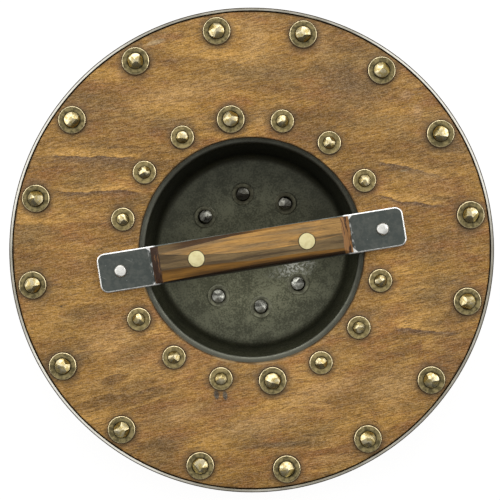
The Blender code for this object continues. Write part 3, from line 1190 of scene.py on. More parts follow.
@dataclass(frozen=True)
class BossSteel(Finish):
    """Blackened sheet steel: finely speckled and scratched on the crown, with painted shade towards the wall
    and on the bowl's upper side, a bend with painted light on its lower-left side, and a painted glint of
    bright specks.
    """

    span: Span
    mouth_radius: float
    light: Colour = (0.262, 0.264, 0.172)
    dark: Colour = (0.122, 0.124, 0.080)
    # Painted shade colour.
    painted_shade: Colour = (0.052, 0.054, 0.042)
    # The rubbed colour is both the bend's painted light and the colour of the scratches.
    rubbed: Colour = (0.160, 0.162, 0.128)
    bend_shade: Colour = (0.075, 0.075, 0.058)
    painted_glint: Colour = (0.86, 0.87, 0.78)
    glint_centre: Point = (0.029, -0.0185)

    def draw(self, sheet: NodeSheet, place: Flow) -> Coat:
        """Draw the steel.

        Args:
            sheet: The material's node tree.
            place: The place on the shield.

        Returns:
            What its shader gets.
        """
        scuff = self.scuffs(sheet, place, 0.012, 0.0009)
        clouds, mouth, radius = scuff["Clouds"], self.mouth_radius, place.from_axis()
        fine = place.noise(800.0, 3.0, 0.7)
        share = clouds + (fine - 0.5) * 1.3
        # Painted shade: darker from the crown's middle out towards the steep wall, and towards the bowl's
        # upper side.
        corner_shade = (radius + place.noise(130.0, 3.0) * 0.006).spread(0.038, mouth - 0.0100, 0.0, 0.52)
        colour = share.spread(0.32, 0.68).between(self.dark, self.light)
        colour = colour.under(self.painted_shade, corner_shade).under(self.painted_shade, self.upper_side_shade(place))
        # Painted light and shade on the bend: lighter on its lower-left side, darker elsewhere.
        bend_lighting = place.along(-0.60, -0.80, 0.0) + clouds * 0.10
        lit_bend = bend_lighting.spread(-0.040, 0.120).between(self.bend_shade, self.rubbed)
        colour = colour.under(lit_bend, radius.spread(mouth + 0.0002, mouth + 0.0012))
        # A painted glint: bright specks in a soft patch on the crown, right of and below its middle.
        sizes = {"Centre": (*self.glint_centre, self.span.low.z + 0.004), "Reach": (0.0230, 0.0100, 0.012)}
        blot = sheet.use(self.effects.blot, place, Ragged=1.0, Soft=1.0, **sizes)
        lit_patches = place.noise(560.0, 3.0, 0.7).spread(0.44, 0.58)
        colour = colour.under(self.painted_glint, blot["Mask"] * lit_patches).under(self.rubbed, scuff["Scratches"] * 0.30)
        return Coat(colour, share.spread(0.36, 0.70, 0.52, 0.36), clouds + fine * 0.30, 0.00009)


@dataclass(frozen=True)
class StrapSteel(Finish):
    """The strap's dark blue-grey steel, ground bright along its edges and at the grip's ends."""

    span: Span
    corner_radius: float
    grip_end: float
    skin: Colour = (0.088, 0.100, 0.092)
    light_skin: Colour = (0.122, 0.131, 0.117)
    bright: Colour = (0.94, 0.94, 0.90)

    def draw(self, sheet: NodeSheet, place: Flow) -> Coat:
        """Draw the steel.

        Args:
            sheet: The material's node tree.
            place: The place on the shield.

        Returns:
            What its shader gets.
        """
        scuff = self.scuffs(sheet, place, 0.004, 0.0008)
        clouds = scuff["Clouds"]
        length, width = (abs(number) for number in place.axes()[:2])
        past_x = length - (self.span.size.x / 2 - self.corner_radius)
        past_y = width - (self.span.size.y / 2 - self.corner_radius)
        outside = sheet.combine(past_x.at_least(0.0), past_y.at_least(0.0), 0.0).vector("LENGTH")
        inset = outside + past_x.at_least(past_y).at_most(0.0) - self.corner_radius
        edge = (inset + place.noise(700.0) * 0.0005).spread(-0.00072, -0.00050)

        from_grip = length - self.grip_end
        slope = from_grip + (self.span.size.y / 2 - width)
        size = place.scaled(1.0, 1.0, 0.0).noise(55.0, 0.0) * 0.010 - 0.0016
        ground = (slope - size).spread(0.0003, -0.0001)
        rub = place.scaled(900.0, 260.0, 1.0).noise(1.0).spread(0.50, 0.62)
        rubbed = from_grip.spread(0.0028, 0.0006) * rub * 0.5
        bright = edge.at_least(ground.at_least(rubbed)) * from_grip.spread(-0.0040, -0.0020)
        bright = bright.at_least(scuff["Scratches"] * 0.12)
        skin = clouds.spread(0.38, 0.66).between(self.skin, self.light_skin)
        skin = skin.under(self.bright, place.noise(620.0, 1.0).spread(0.74, 0.80, 0.0, 0.15))
        return Coat(skin.under(self.bright, bright), clouds.spread(0.35, 0.65, 0.48, 0.38), clouds, 0.00005)


@dataclass(frozen=True)
class WasherMetal(Finish):
    """A washer: dull on its flat, bright on its outer edge as worn metal with a painted highlight, and dark
    at the rivet's foot with grime and painted shade; in the bowl, painted shade on its upper side.
    """

    kind: RivetKind
    light: Colour
    dark: Colour
    edge: Colour
    foot_grime_and_shade: float = 0.70
    in_bowl: bool = False
    # The grime colour is for grime and painted shade at the foot, and painted shade in the bowl.
    grime: Colour = (0.030, 0.026, 0.016)

    def draw(self, sheet: NodeSheet, place: Flow) -> Coat:
        """Draw the metal.

        Args:
            sheet: The material's node tree.
            place: The place on the shield.

        Returns:
            What its shader gets.
        """
        clouds = self.scuffs(sheet, place, 0.0035, 0.0007)["Clouds"]
        foot, outer = self.kind.tail_radius, self.kind.washer_radius
        frayed = sheet.own_place().from_axis() + place.noise(600.0) * 0.0006
        colour = clouds.spread(0.38, 0.62).between(self.dark, self.light)
        # A bright outer edge: worn metal and a painted highlight.
        colour = colour.under(self.edge, frayed.spread(outer - 0.0003, outer + 0.0001))
        # Grime and painted shade towards the rivet's foot.
        colour = colour.under(self.grime, frayed.spread(foot + 0.0022, foot + 0.0004) * self.foot_grime_and_shade)
        # In the bowl, painted shade on its upper side.
        if self.in_bowl:
            colour = colour.under(self.grime, self.upper_side_shade(place))
        return Coat(colour, clouds.spread(0.34, 0.68, 0.42, 0.30), clouds, 0.00005)


@dataclass(frozen=True)
class PeenedMetal(Finish):
    """A rivet: bright on its hammered facets, with painted shade on its steep facets and at its foot, on both
    of its ends; in the bowl, painted shade on its upper side.
    """

    light: Colour
    dark: Colour
    depth: float
    in_bowl: bool = False
    foot_height: float = 0.0010
    # The grime colour is the painted shade at the foot and in the bowl.
    grime: Colour = (0.028, 0.022, 0.012)

    def draw(self, sheet: NodeSheet, place: Flow) -> Coat:
        """Draw the metal.

        Args:
            sheet: The material's node tree.
            place: The place on the shield.

        Returns:
            What its shader gets.
        """
        clouds = self.scuffs(sheet, place, 0.0026, 0.0006)["Clouds"]
        height = abs(sheet.own_place().axes()[2] + self.depth / 2) - self.depth / 2
        # Painted shade at the foot of the tail and of the head, and on the steep facets.
        foot = (height + place.noise(700.0) * 0.0007).spread(self.foot_height, self.foot_height * 0.3)
        steep = abs(sheet.facing().axes()[2]).spread(0.90, 0.68, 0.0, 0.85)
        colour = steep.at_least(clouds.spread(0.56, 0.40, 0.0, 0.70)).between(self.light, self.dark)
        # In the bowl, painted shade on its upper side.
        if self.in_bowl:
            colour = colour.under(self.grime, self.upper_side_shade(place))
        return Coat(colour.under(self.grime, foot), clouds.spread(0.36, 0.66, 0.38, 0.22), clouds, 0.00010)


@dataclass(frozen=True)
class PinBrass(Finish):
    """The grip's brass pins: filed flush, bright and finely scratched, with painted shade at their edges."""

    radius: float
    bright: Colour = (0.95, 0.86, 0.48)
    dull: Colour = (0.82, 0.72, 0.38)
    # The grime colour is the painted shade at the pins' edges.
    grime: Colour = (0.06, 0.04, 0.02)

    def draw(self, sheet: NodeSheet, place: Flow) -> Coat:
        """Draw the metal.

        Args:
            sheet: The material's node tree.
            place: The place on the shield.

        Returns:
            What its shader gets.
        """
        scuff = self.scuffs(sheet, place, 0.005, 0.0008)
        clouds = scuff["Clouds"]
        frayed = sheet.own_place().from_axis() + place.noise(700.0) * 0.0004
        colour = clouds.spread(0.36, 0.62).between(self.dull, self.bright)
        colour = colour.under(self.dull, scuff["Scratches"] * 0.5)
        # Painted shade round the pin's edge.
        colour = colour.under(self.grime, frayed.spread(self.radius - 0.0003, self.radius + 0.0001))
        return Coat(colour, clouds.spread(0.36, 0.66, 0.42, 0.30), clouds, 0.00004)


# Pieces


@dataclass(frozen=True)
class RivetKind:
    """The sizes of a rivet and its washer."""

    washer_radius: float
    washer_thickness: float
    tail_radius: float
    tail_height: float
    shank_radius: float
    head_radius: float
    head_height: float


LARGE_BRASS = RivetKind(0.00980, 0.0016, 0.00575, 0.0045, 0.0025, 0.0065, 0.0040)
SMALL_BRASS = RivetKind(0.00825, 0.0014, 0.00435, 0.0040, 0.0022, 0.0060, 0.0035)
HANDLE_STEEL = RivetKind(0.0, 0.0, 0.0047, 0.0034, 0.0025, 0.0065, 0.0040)
BOSS_STEEL = RivetKind(0.00825, 0.0013, 0.0050, 0.0034, 0.0025, 0.0060, 0.0043)


@dataclass(frozen=True)
class RivetRing:
    """A ring of evenly spaced rivets, the first one on the handle's axis."""

    radius: float
    count: int
    kind: RivetKind

    def turns(self) -> list[Matrix]:
        """Return the turn about Z to each rivet."""
        return [Matrix.Rotation(math.tau * i / self.count, 4, "Z") for i in range(self.count)]

    def places(self, height: float) -> list[Matrix]:
        """Return the rivets' places at a height."""
        return [turn @ Matrix.Translation((self.radius, 0.0, height)) for turn in self.turns()]


OUTER_RING = RivetRing(0.160, 16, LARGE_BRASS)
INNER_RING = RivetRing(0.0955, 16, SMALL_BRASS)
WIDE_RING = RivetRing(INNER_RING.radius, 4, LARGE_BRASS)  # on the axes: two of them, and the handle's two
BOSS_RING = RivetRing(0.043, 8, BOSS_STEEL)


@dataclass
class WoodBoard:
    """The wooden disc, with its hand hole, rivet holes, eased edges and one small nick."""

    span: Span
    hole_radius: float = 0.0815
    easing: float = 0.0005
    nick: Point = (0.0689, -0.1371)
    nick_size: Vector = field(default_factory=lambda: Vector((0.0030, 0.0018, 0.0008)))
    nick_lean: float = math.radians(-30.0)
    steps: int = 240

    def profile(self) -> list[Point]:
        """Return the section of the board on one side of the hand hole."""
        ease = self.easing
        inner, outer = self.hole_radius + ease, self.span.high.x - ease
        low, high = self.span.low.z + ease, self.span.high.z - ease
        points = []
        for i, corner in enumerate(((outer, low), (outer, high), (inner, high), (inner, low))):
            points += arc(corner, ease, 90 * i - 90, 90 * i, 2)
        return points

    def nick_cutter(self) -> bpy.types.Object:
        """Return a cutter for the small slot in the back of the board."""
        put_down()
        bpy.ops.mesh.primitive_cylinder_add(
            vertices=4,
            radius=0.5,
            depth=1.0,
            location=(*self.nick, self.span.high.z + 0.0001),
            rotation=(math.pi / 2, 0.0, math.pi / 2 + self.nick_lean),
            scale=(self.nick_size.y, self.nick_size.z * 2, self.nick_size.x),
        )
        return settle("nick")

    def build(self) -> bpy.types.Object:
        """Return the board."""
        board = turn("wood_board", self.profile(), self.steps, closed=True)
        for ring in (OUTER_RING, INNER_RING):
            drill(board, ring.places(self.span.middle.z), DRILL_RADIUS, self.span.size.z * 2)
        cut_away(board, self.nick_cutter())
        shade(board)
        return board


@dataclass
class RimBand:
    """The steel band: a wall round the board, its back edge hammered in, and a flat band on the front."""

    span: Span
    band_width: float = 0.029
    thickness: float = 0.0012
    top_width: float = 0.0023  # the hammered edge is wider than the wall
    slope: float = 0.00080  # the width of the slope outside it
    lip: tuple[Point, ...] = ((-0.00005, 0.0009), (0.0, 0.0003), (0.00035, 0.0))  # outwards and down from it
    lip_foot: float = 0.0016  # how far down its inner side starts
    easing: float = 0.0004  # in the corner between the wall and the band
    corner: float = 0.0010
    steps: int = 240

    def build(self) -> bpy.types.Object:
        """Return the band."""
        low, high, outer = self.span.low.z, self.span.high.z, self.span.high.x - WELD
        top_inner = outer - self.top_width
        profile = [
            (outer, high - self.slope * 0.9),
            *arc((outer - self.corner, low + self.corner), self.corner, 0, -90, 4),
            (outer - self.band_width, low),
            (outer - self.band_width, low + self.thickness),
            (outer - self.thickness - self.easing, low + self.thickness),
            (outer - self.thickness, low + self.thickness + self.easing),
            (outer - self.thickness, high - self.lip_foot),
            *((top_inner + out, high - down) for out, down in self.lip),
            (outer - self.slope, high),
        ]
        rim = turn("rim", profile, self.steps, closed=True)
        drill(rim, OUTER_RING.places(low), DRILL_RADIUS, self.thickness * 8)
        bevel(rim, 0.00016, SHEET_EDGE)
        shade(rim)
        return rim


@dataclass
class Boss:
    """The steel bowl: a shallow crown, a round shoulder, a steep wall, a bend and a flat flange."""

    span: Span
    thickness: float = 0.0015
    depth: float = 0.044
    flange_radius: float = 0.109
    bend_radius: float = 0.0015
    mouth_radius: float = 0.077
    wall_slope: float = math.radians(80)
    crown_sphere_radius: float = 0.300
    crown_radius: float = 0.0655
    unevenness: float = 0.00022
    steps: int = 192

    def line(self, lift: float) -> list[Point]:
        """Return the sheet's section from the crown's middle to the flange's edge.

        Args:
            lift: How far the line lies behind the sheet's front face.

        Returns:
            The points, as (radius, height).
        """
        flange_z = self.span.high.z - self.thickness
        crown_z = flange_z - self.depth
        slope, sphere = self.wall_slope, self.crown_sphere_radius
        wall_radius = self.mouth_radius + self.thickness * math.sin(slope)
        bend_middle = (wall_radius + self.bend_radius * math.sin(slope), flange_z - self.bend_radius)
        wall_top_z = bend_middle[1] + self.bend_radius * math.cos(slope)
        crown_slope = math.asin(self.crown_radius / sphere)
        crown_edge_z = crown_z + sphere - math.sqrt(sphere**2 - self.crown_radius**2)
        lean = 1 / math.tan(slope)
        across = wall_radius - self.crown_radius - (wall_top_z - crown_edge_z) * lean
        unit_rise = math.cos(crown_slope) - math.cos(slope)
        shoulder = across / (math.sin(slope) - math.sin(crown_slope) - unit_rise * lean)
        shoulder_middle = (
            self.crown_radius - shoulder * math.sin(crown_slope),
            crown_edge_z + shoulder * math.cos(crown_slope),
        )
        crown_degrees, wall_degrees = math.degrees(crown_slope), math.degrees(slope)
        points = arc((0.0, crown_z + sphere), sphere - lift, -90, crown_degrees - 90, 18)
        points += arc(shoulder_middle, shoulder - lift, crown_degrees - 90, wall_degrees - 90, 10)[1:]
        bend = arc(bend_middle, self.bend_radius + lift, 90 + wall_degrees, 90, 6)
        (foot_x, foot_z), (top_x, top_z) = points[-1], bend[0]
        for i in range(1, 6):
            points.append((foot_x + (top_x - foot_x) * i / 6, foot_z + (top_z - foot_z) * i / 6))
        points += bend
        reach = self.flange_radius - points[-1][0]
        points += [(points[-1][0] + reach * share, flange_z + lift) for share in (0.3, 0.6)]
        return [*points, (self.flange_radius, flange_z + lift)]

    def crown_places(self) -> list[Matrix]:
        """Return the places of the crown's rivets on its hand side, whose Z points to the hand side."""
        sphere = self.crown_sphere_radius
        middle = Matrix.Translation((0.0, 0.0, self.span.high.z - self.thickness - self.depth + sphere))
        tilt = Matrix.Rotation(-math.asin(BOSS_RING.radius / sphere), 4, "Y")
        down = Matrix.Translation((0.0, 0.0, self.thickness - sphere))
        return [middle @ turn @ tilt @ down for turn in BOSS_RING.turns()]

    def build(self) -> bpy.types.Object:
        """Return the boss."""
        boss = turn("boss_bowl", [*self.line(0.0), *reversed(self.line(self.thickness))], self.steps)
        hammering = bpy.data.textures.new("hammering", "CLOUDS")
        hammering.noise_scale = 0.017
        hammering.noise_depth = 1
        blows = {"texture": hammering, "texture_coords": "LOCAL", "mid_level": 0.5}
        apply_modifier(boss, "DISPLACE", strength=self.unevenness, **blows)
        for places in (INNER_RING.places(self.span.high.z), self.crown_places()):
            drill(boss, places, DRILL_RADIUS, self.thickness * 6)
        bevel(boss, 0.0003, SHEET_EDGE)
        shade(boss)
        return boss


@dataclass
class Strap:
    """The steel bar between the grip scales, with its corners rounded and its edges ground off."""

    span: Span
    corner_radius: float = 0.0055
    ground_width: float = 0.00065
    ground_drop: float = 0.00038
    front_easing: float = 0.0004
    pin_hole: float = 0.0063

    def grind(self, strap: bpy.types.Object, level: float, width: float, drop: float) -> None:
        """Slope the edge of one broad face.

        Args:
            strap: The strap.
            level: The face's height.
            width: How wide the slope is.
            drop: How far down the slope goes.
        """

        def level_with(corner: bmesh.types.BMVert) -> bool:
            """Return whether a corner is on the face."""
            return abs(corner.co.z - level) < WELD

        start_shaping(strap)
        pick(strap, Part.FACE, lambda face: all(level_with(corner) for corner in face.verts))
        bpy.ops.mesh.inset(thickness=width)
        pick(strap, Part.VERT, lambda corner: level_with(corner) and any(map(upright, corner.link_edges)))
        bpy.ops.transform.translate(value=(0.0, 0.0, drop))
        put_down()

    def build(self, pin_x: float) -> bpy.types.Object:
        """Make the strap.

        Args:
            pin_x: How far the grip's pins are from the middle.

        Returns:
            The strap.
        """
        strap = block("strap", self.span)
        start_shaping(strap)
        pick(strap, Part.EDGE, upright)
        bpy.ops.mesh.bevel(offset=self.corner_radius, segments=8)
        self.grind(strap, self.span.high.z, self.ground_width, -self.ground_drop)
        self.grind(strap, self.span.low.z, self.front_easing, self.front_easing)
        clean(strap)
        for x, radius in ((INNER_RING.radius, DRILL_RADIUS), (pin_x, self.pin_hole)):
            drill(strap, both_ways(x, self.span.middle.z), radius, self.span.size.z * 3, sides=36)
        shade(strap, 20.0)
        return strap


@dataclass
class GripScale:
    """One half of the grip: a barrel-shaped block with planed facets and sloping ends."""

    # Facets: where they cross the outer face, how far below it, and how they lean aside, out and along
    back_facets: ClassVar[tuple[tuple[float, ...], ...]] = (
        (-0.0009, 0.0, 0.207, 1.0, 0.0108),
        (0.0092, 0.0, 0.75, 1.0, -0.0278),
        (0.0128, 0.0033, 1.0, 1.0, 0.0),
        (-0.0075, 0.0, -0.45, 1.0, -0.0327),
        (-0.0075, 0.0, -0.45, 1.0, 0.0040),
        (-0.0106, 0.0014, -1.6, 1.0, 0.0),
        (-0.0129, 0.0051, -4.0, 1.0, 0.0),
    )
    front_facets: ClassVar[tuple[tuple[float, ...], ...]] = (
        (-0.0070, 0.0, -0.45, 1.0, 0.0),
        (-0.0108, 0.0018, -1.0, 0.75, 0.0),
        (0.0070, 0.0, 0.45, 1.0, 0.0),
        (0.0108, 0.0018, 1.0, 0.75, 0.0),
    )

    name: str
    span: Span
    side: Side
    barrel: float = 0.0007  # how much narrower each side is at the ends
    belly: float = 0.0012  # how much lower the outer face is at the ends
    end_width: float = 0.0060
    end_slope: float = 0.78
    corner_cut: Point = (0.0002, 0.0034)  # how far in from its end and side each outer corner is cut
    corner_lean: Point = (0.8, 0.45)
    pin_hole: float = 0.0062
    stations: int = 36

    @property
    def outer(self) -> float:
        """Return the height of the outer face."""
        return self.span.high.z if self.side is Side.BACK else self.span.low.z

    def barrel_block(self) -> bpy.types.Object:
        """Return the block with its sides and its outer face bowed."""
        scale = block(self.name, self.span)
        for i in range(1, self.stations):
            start_shaping(scale)
            x = self.span.low.x + self.span.size.x * i / self.stations
            bpy.ops.mesh.bisect(plane_co=(x, 0.0, 0.0), plane_no=(1.0, 0.0, 0.0))
        put_down()
        outer = self.outer
        for corner in scale.data.vertices:
            share = (corner.co.x / (self.span.size.x / 2)) ** 2
            corner.co.y -= math.copysign(self.barrel * share, corner.co.y)
            if abs(corner.co.z - outer) < WELD:
                corner.co.z -= self.side.value * self.belly * share
        return scale

    def build(self, pin_x: float) -> bpy.types.Object:
        """Make the scale.

        Args:
            pin_x: How far the pins are from the middle.

        Returns:
            The scale.
        """
        scale = self.barrel_block()
        outer, side, end = self.outer, self.side.value, self.span.high.x
        (from_end, from_side), (lean, rise) = self.corner_cut, self.corner_lean
        for y, drop, aside, out, along in self.back_facets if self.side is Side.BACK else self.front_facets:
            facing = Vector((0.0, aside, out * side)).normalized()
            facing.x = along
            plane_off(scale, Vector((0.0, y, outer - side * drop)), facing.normalized())
        for way in (-1, 1):
            spot = Vector((way * end, 0.0, outer - side * (self.belly + self.end_width * self.end_slope)))
            plane_off(scale, spot, Vector((way * self.end_slope, 0.0, side)))
            for aside in (-1, 1):
                corner = Vector((way * (end - from_end), aside * (self.span.size.y / 2 - from_side), outer))
                plane_off(scale, corner, Vector((way, aside * lean, rise * side)))
        drill(scale, both_ways(pin_x, self.span.middle.z), self.pin_hole, self.span.size.z * 3, sides=40)
        bevel(scale, 0.00030, 7.0)
        shade(scale, 20.0)
        return scale


@dataclass
class GripPin:
    """A brass pin, filed flush with the grip and slightly nicked."""

    span: Span
    easing: float = 0.00035
    nicks: tuple[Point, ...] = ((214.0, 0.0007), (340.0, 0.0003))  # as (degrees round its edge, depth)
    steps: int = 48

    def build(self) -> bpy.types.Object:
        """Return the master pin, standing at the origin."""
        radius, half, ease = self.span.size.x / 2, self.span.size.z / 2, self.easing
        profile = [
            (0.0, -half),
            (radius - ease, -half),
            (radius, -half + ease),
            (radius, half - ease),
            (radius - ease * 0.4, half - ease * 0.4),
            (radius - ease * 1.6, half),
            (0.0, half),
        ]
        pin = turn("pin_master", profile, self.steps)
        for degrees, depth in self.nicks:
            angle = math.radians(degrees)
            place = Matrix.Translation((math.cos(angle) * radius, math.sin(angle) * radius, half))
            drill(pin, [place], depth, depth * 3, sides=6)
        shade(pin)
        mark_own_place(pin)
        return pin


@dataclass
class RivetMaker:
    """Makes master rivets, each hammered another way, and their washers.

    A master stands with its tail's foot at the origin and its tail up.
    """

    kind: RivetKind
    depth: float  # from the tail's foot to the head's
    rng: random.Random
    blows: tuple[int, int] = (5, 7)
    tilts: Point = (16.0, 46.0)
    cuts: Point = (0.74, 0.88)
    flat_top: float = 0.5  # the share of rivets with one more blow on top
    top_tilts: Point = (3, 14)
    top_cuts: Point = (0.84, 0.92)
    skirts: Point = (0.14, 0.12)  # the shares of the tail's and the head's height below their rounding
    feet: Point = (0.88, 0.94)  # the tail's and the head's narrower feet, as shares of their radius
    washer_easing: float = 0.00040
    crispness: float = 24.0
    steps: int = 40
    washer_steps: int = 56

    def section(self) -> list[Point]:
        """Return the rivet's section from its tail's top to its head's middle."""
        kind = self.kind
        tail_foot, head_foot = kind.tail_height * self.skirts[0], kind.head_height * self.skirts[1]
        tail = arc((0.0, tail_foot), kind.tail_radius, 90, 0, 8, kind.tail_height - tail_foot)
        head = arc((0.0, -self.depth - head_foot), kind.head_radius, 0, 90, 8, head_foot - kind.head_height)
        shank = [(kind.tail_radius * self.feet[0], 0.0), (kind.shank_radius, 0.0)]
        shank += [(kind.shank_radius, -self.depth), (kind.head_radius * self.feet[1], -self.depth)]
        return [(0.0, kind.tail_height), *tail[1:], *shank, *head[:-1], (0.0, head[-1][1])]

    def strike(self, rivet: bpy.types.Object) -> None:
        """Flatten facets on the tail, as hammer blows do.

        Args:
            rivet: The rivet to strike.
        """
        radius, height = self.kind.tail_radius, self.kind.tail_height
        count = self.rng.randint(*self.blows)
        azimuths = [math.tau * (i + self.rng.uniform(-0.4, 0.4)) / count for i in range(count)]
        chance = self.rng.uniform
        blows = [(azimuth, chance(*self.tilts), chance(*self.cuts)) for azimuth in azimuths]
        if self.rng.random() < self.flat_top:
            blows.append((chance(0, math.tau), chance(*self.top_tilts), chance(*self.top_cuts)))
        for azimuth, degrees, share in blows:
            tilt = math.radians(degrees)
            level = math.sin(tilt)
            facing = Vector((level * math.cos(azimuth), level * math.sin(azimuth), math.cos(tilt)))
            reach = math.hypot(radius * level, height * math.cos(tilt))
            plane_off(rivet, facing * reach * share, facing)

    def rivet(self, name: str) -> bpy.types.Object:
        """Return a master rivet.

        Args:
            name: The master's name.

        Returns:
            The rivet.
        """
        made = turn(name, self.section(), self.steps)
        self.strike(made)
        bevel(made, 0.00012, 14.0)
        shade(made, self.crispness)
        mark_own_place(made)
        return made

    def washer(self, sink_width: float, sink_depth: float) -> bpy.types.Object:
        """Return a master washer, with its back face at the origin's height.

        Args:
            sink_width: How far the sink round the hole shows past the rivet's tail.
            sink_depth: How deep that sink is.

        Returns:
            The washer.
        """
        outer, thick, ease = self.kind.washer_radius, self.kind.washer_thickness, self.washer_easing
        hole, sink = self.kind.shank_radius + 0.0004, self.kind.tail_radius + sink_width
        profile = [
            (hole, -thick),
            (outer - ease / 2, -thick),
            (outer, -thick + ease / 2),
            (outer, -ease),
            (outer - ease * 0.22, -ease * 0.45),
            (outer - ease, 0.0),
            (sink, 0.0),
            (sink - sink_depth, -sink_depth),
            (hole, -sink_depth * 1.2),
        ]
        made = turn("washer_master", profile, self.washer_steps, closed=True)
        shade(made, self.crispness)
        mark_own_place(made)
        return made


@dataclass(frozen=True)
class Seat:
    """Where a rivet goes: the node it stands for, and the place of its tail's foot."""

    node: str
    place: Matrix


@dataclass
class RivetSet:
    """A set of like rivets, each a copy of one of a few masters, and their washers."""

    maker: RivetMaker
    seats: list[Seat]
    metal: bpy.types.Material
    slot: Slot
    washer_metal: bpy.types.Material | None = None
    variants: int = 5
    sink_width: float = 0.0003
    sink_depth: float = 0.0005
    slip: float = 0.0  # how far a washer may lie off its rivet's axis

    def build(self) -> None:
        """Make the rivets and their washers and hang them on the shield."""
        rng = self.maker.rng
        masters = [self.maker.rivet(f"master_{i}") for i in range(min(self.variants, len(self.seats)))]
        for i, seat in enumerate(self.seats):
            twist = Matrix.Rotation(rng.uniform(0, math.tau), 4, "Z")
            rivet = copy_to(masters[i % len(masters)], f"{seat.node}_peened", seat.place @ twist)
            finish_piece(rivet, self.metal, self.slot, seat.node)
        if self.washer_metal:
            masters.append(self.maker.washer(self.sink_width, self.sink_depth))
            for seat in self.seats:
                angle = rng.uniform(0, math.tau)
                slip = Matrix.Translation((self.slip * math.cos(angle), self.slip * math.sin(angle), 0.0))
                washer = copy_to(masters[-1], f"{seat.node}_washer", seat.place @ slip)
                finish_piece(washer, self.washer_metal, self.slot, seat.node)
        for master in masters:
            bpy.data.objects.remove(master, do_unlink=True)


# The studio


@dataclass
class Studio:
    """A pale floor, a sky that is bright overhead, three wide soft lights and a camera above the shield."""

    box: tuple[Vector, Vector]
    floor_size: float = 12.0
    floor_gap: float = 0.0002
    floor_grey: Colour = (0.18, 0.18, 0.18)
    floor_glow: float = 0.90
    handle_lean: float = math.radians(-9.1)  # how far the view's right is turned from +X
    camera_height: float = 1.5
    view_width: float = 0.3608
    aside: float = -0.0012  # the camera's place along the view's width
    sky: float = 0.80
    horizon: float = 0.10  # the sky's share of that low down, on the side of the view's bottom
    lamps: tuple[tuple[str, float], ...] = (("left_light", 165.0), ("top_light", 90.0), ("right_light", 15.0))
    lamp_power: float = 11.5
    lamp_size: Point = (1.85, 0.83)
    lamp_distance: float = 2.0
    lamp_tilt: float = math.radians(55)

    def floor(self) -> None:
        """Lay the floor under the shield."""
        put_down()
        level = self.box[0].z - self.floor_gap
        bpy.ops.mesh.primitive_plane_add(size=self.floor_size, location=(0.0, 0.0, level))
        floor = settle("floor")
        material = bpy.data.materials.new("pale_floor")
        material.use_nodes = True
        sheet, shader = NodeSheet(material.node_tree), material.node_tree.nodes["Principled BSDF"]
        sheet.fill(shader, Base_Color=self.floor_grey, Roughness=0.9, Specular_IOR_Level=0.0)
        sheet.fill(shader, Emission_Color=WHITE, Emission_Strength=self.floor_glow)
        floor.data.materials.append(material)
        floor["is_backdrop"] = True

    def lights(self) -> None:
        """Light the sky and hang the lamps."""
        world = bpy.data.worlds.new("sky")
        world.use_nodes = True
        sheet = NodeSheet(world.node_tree)
        way = sheet.out(sheet.add("ShaderNodeTexCoord"), "Generated")
        towards_top = way.along(-math.sin(self.handle_lean), math.cos(self.handle_lean), 0.0)
        open_sky = way.axes()[2] + towards_top * 0.35
        light = open_sky.spread(0.25, 0.95, self.sky * self.horizon, self.sky)
        seen = sheet.out(sheet.add("ShaderNodeLightPath"), "Is Camera Ray")  # a pale backdrop
        sheet.fill(world.node_tree.nodes["Background"], Color=WHITE, Strength=light.at_least(seen))
        bpy.context.scene.world = world
        level = math.sin(self.lamp_tilt)
        for name, degrees in self.lamps:
            angle = math.radians(degrees) + self.handle_lean
            towards = Vector((level * math.cos(angle), level * math.sin(angle), math.cos(self.lamp_tilt)))
            put_down()
            bpy.ops.object.light_add(type="AREA", location=towards * self.lamp_distance)
            lamp = bpy.context.active_object
            lamp.name = name
            lamp.rotation_euler = towards.to_track_quat("Z", "Y").to_euler()
            lamp.data.shape = "RECTANGLE"
            lamp.data.size, lamp.data.size_y = self.lamp_size
            lamp.data.energy = self.lamp_power

    def camera(self) -> None:
        """Put the camera straight above the shield's hand side."""
        put_down()
        spot = Matrix.Rotation(self.handle_lean, 4, "Z") @ Vector((self.aside, 0.0, 0.0))
        spot.z = Span.of("wood_disc").high.z + self.camera_height
        bpy.ops.object.camera_add(location=spot, rotation=(0.0, 0.0, self.handle_lean))
        camera = bpy.context.active_object
        camera.data.sensor_width = 36.0
        camera.data.lens = camera.data.sensor_width * self.camera_height / self.view_width
        bpy.context.scene.camera = camera
        bpy.context.scene.view_settings.view_transform = "Standard"


# The board's marks and licks

# By colour: wide soft marks, as place and reach in millimetres, share, and lean in degrees
WIDE_MARKS = {
    (0.540, 0.308, 0.098): (
        (-35, 120, 52, 12, 0.60, 2),
        (27, 148, 13, 26, 0.60, 0),
        (22, 93, 12, 13, 0.50, 0),
        (75, 136, 10, 15, 0.45, 0),
        (130, 33, 30, 10, 0.45, -12),
        (-108, -46, 34, 18, 0.50, 0),
        (-70, -109, 38, 10, 0.65, 2),
        (35, -108, 50, 11, 0.70, 8),
        (-15, -125, 52, 10, 0.75, 2),
        (85, -112, 34, 18, 0.75, 10),
        (33, -157.5, 26, 4, 0.60, -2),
    ),
    (0.150, 0.088, 0.033): (
        (-106, 112, 24, 10, 0.32, 0),
        (-45, 98, 30, 9, 0.28, 0),
        (90, 105, 38, 22, 0.85, -25),
        (55, 77, 23, 12, 0.48, 0),
        (156, -8, 10, 20, 0.40, 0),
        (-110, -90, 32, 7, 0.16, -4),
        (-85, -129, 30, 9, 0.50, 0),
        (-5, -141.5, 50, 3.4, 0.75, -6),
        (-8, -89, 24, 6, 0.40, 0),
        (-148, 72, 14, 8, 0.40, 0),
    ),
    (0.330, 0.140, 0.048): ((-73.4, -67.8, 30, 12, 0.40, 0), (-125, 5, 24, 12, 0.25, 0)),
    (0.250, 0.175, 0.072): ((130, -70, 20, 36, 0.15, 0),),
}
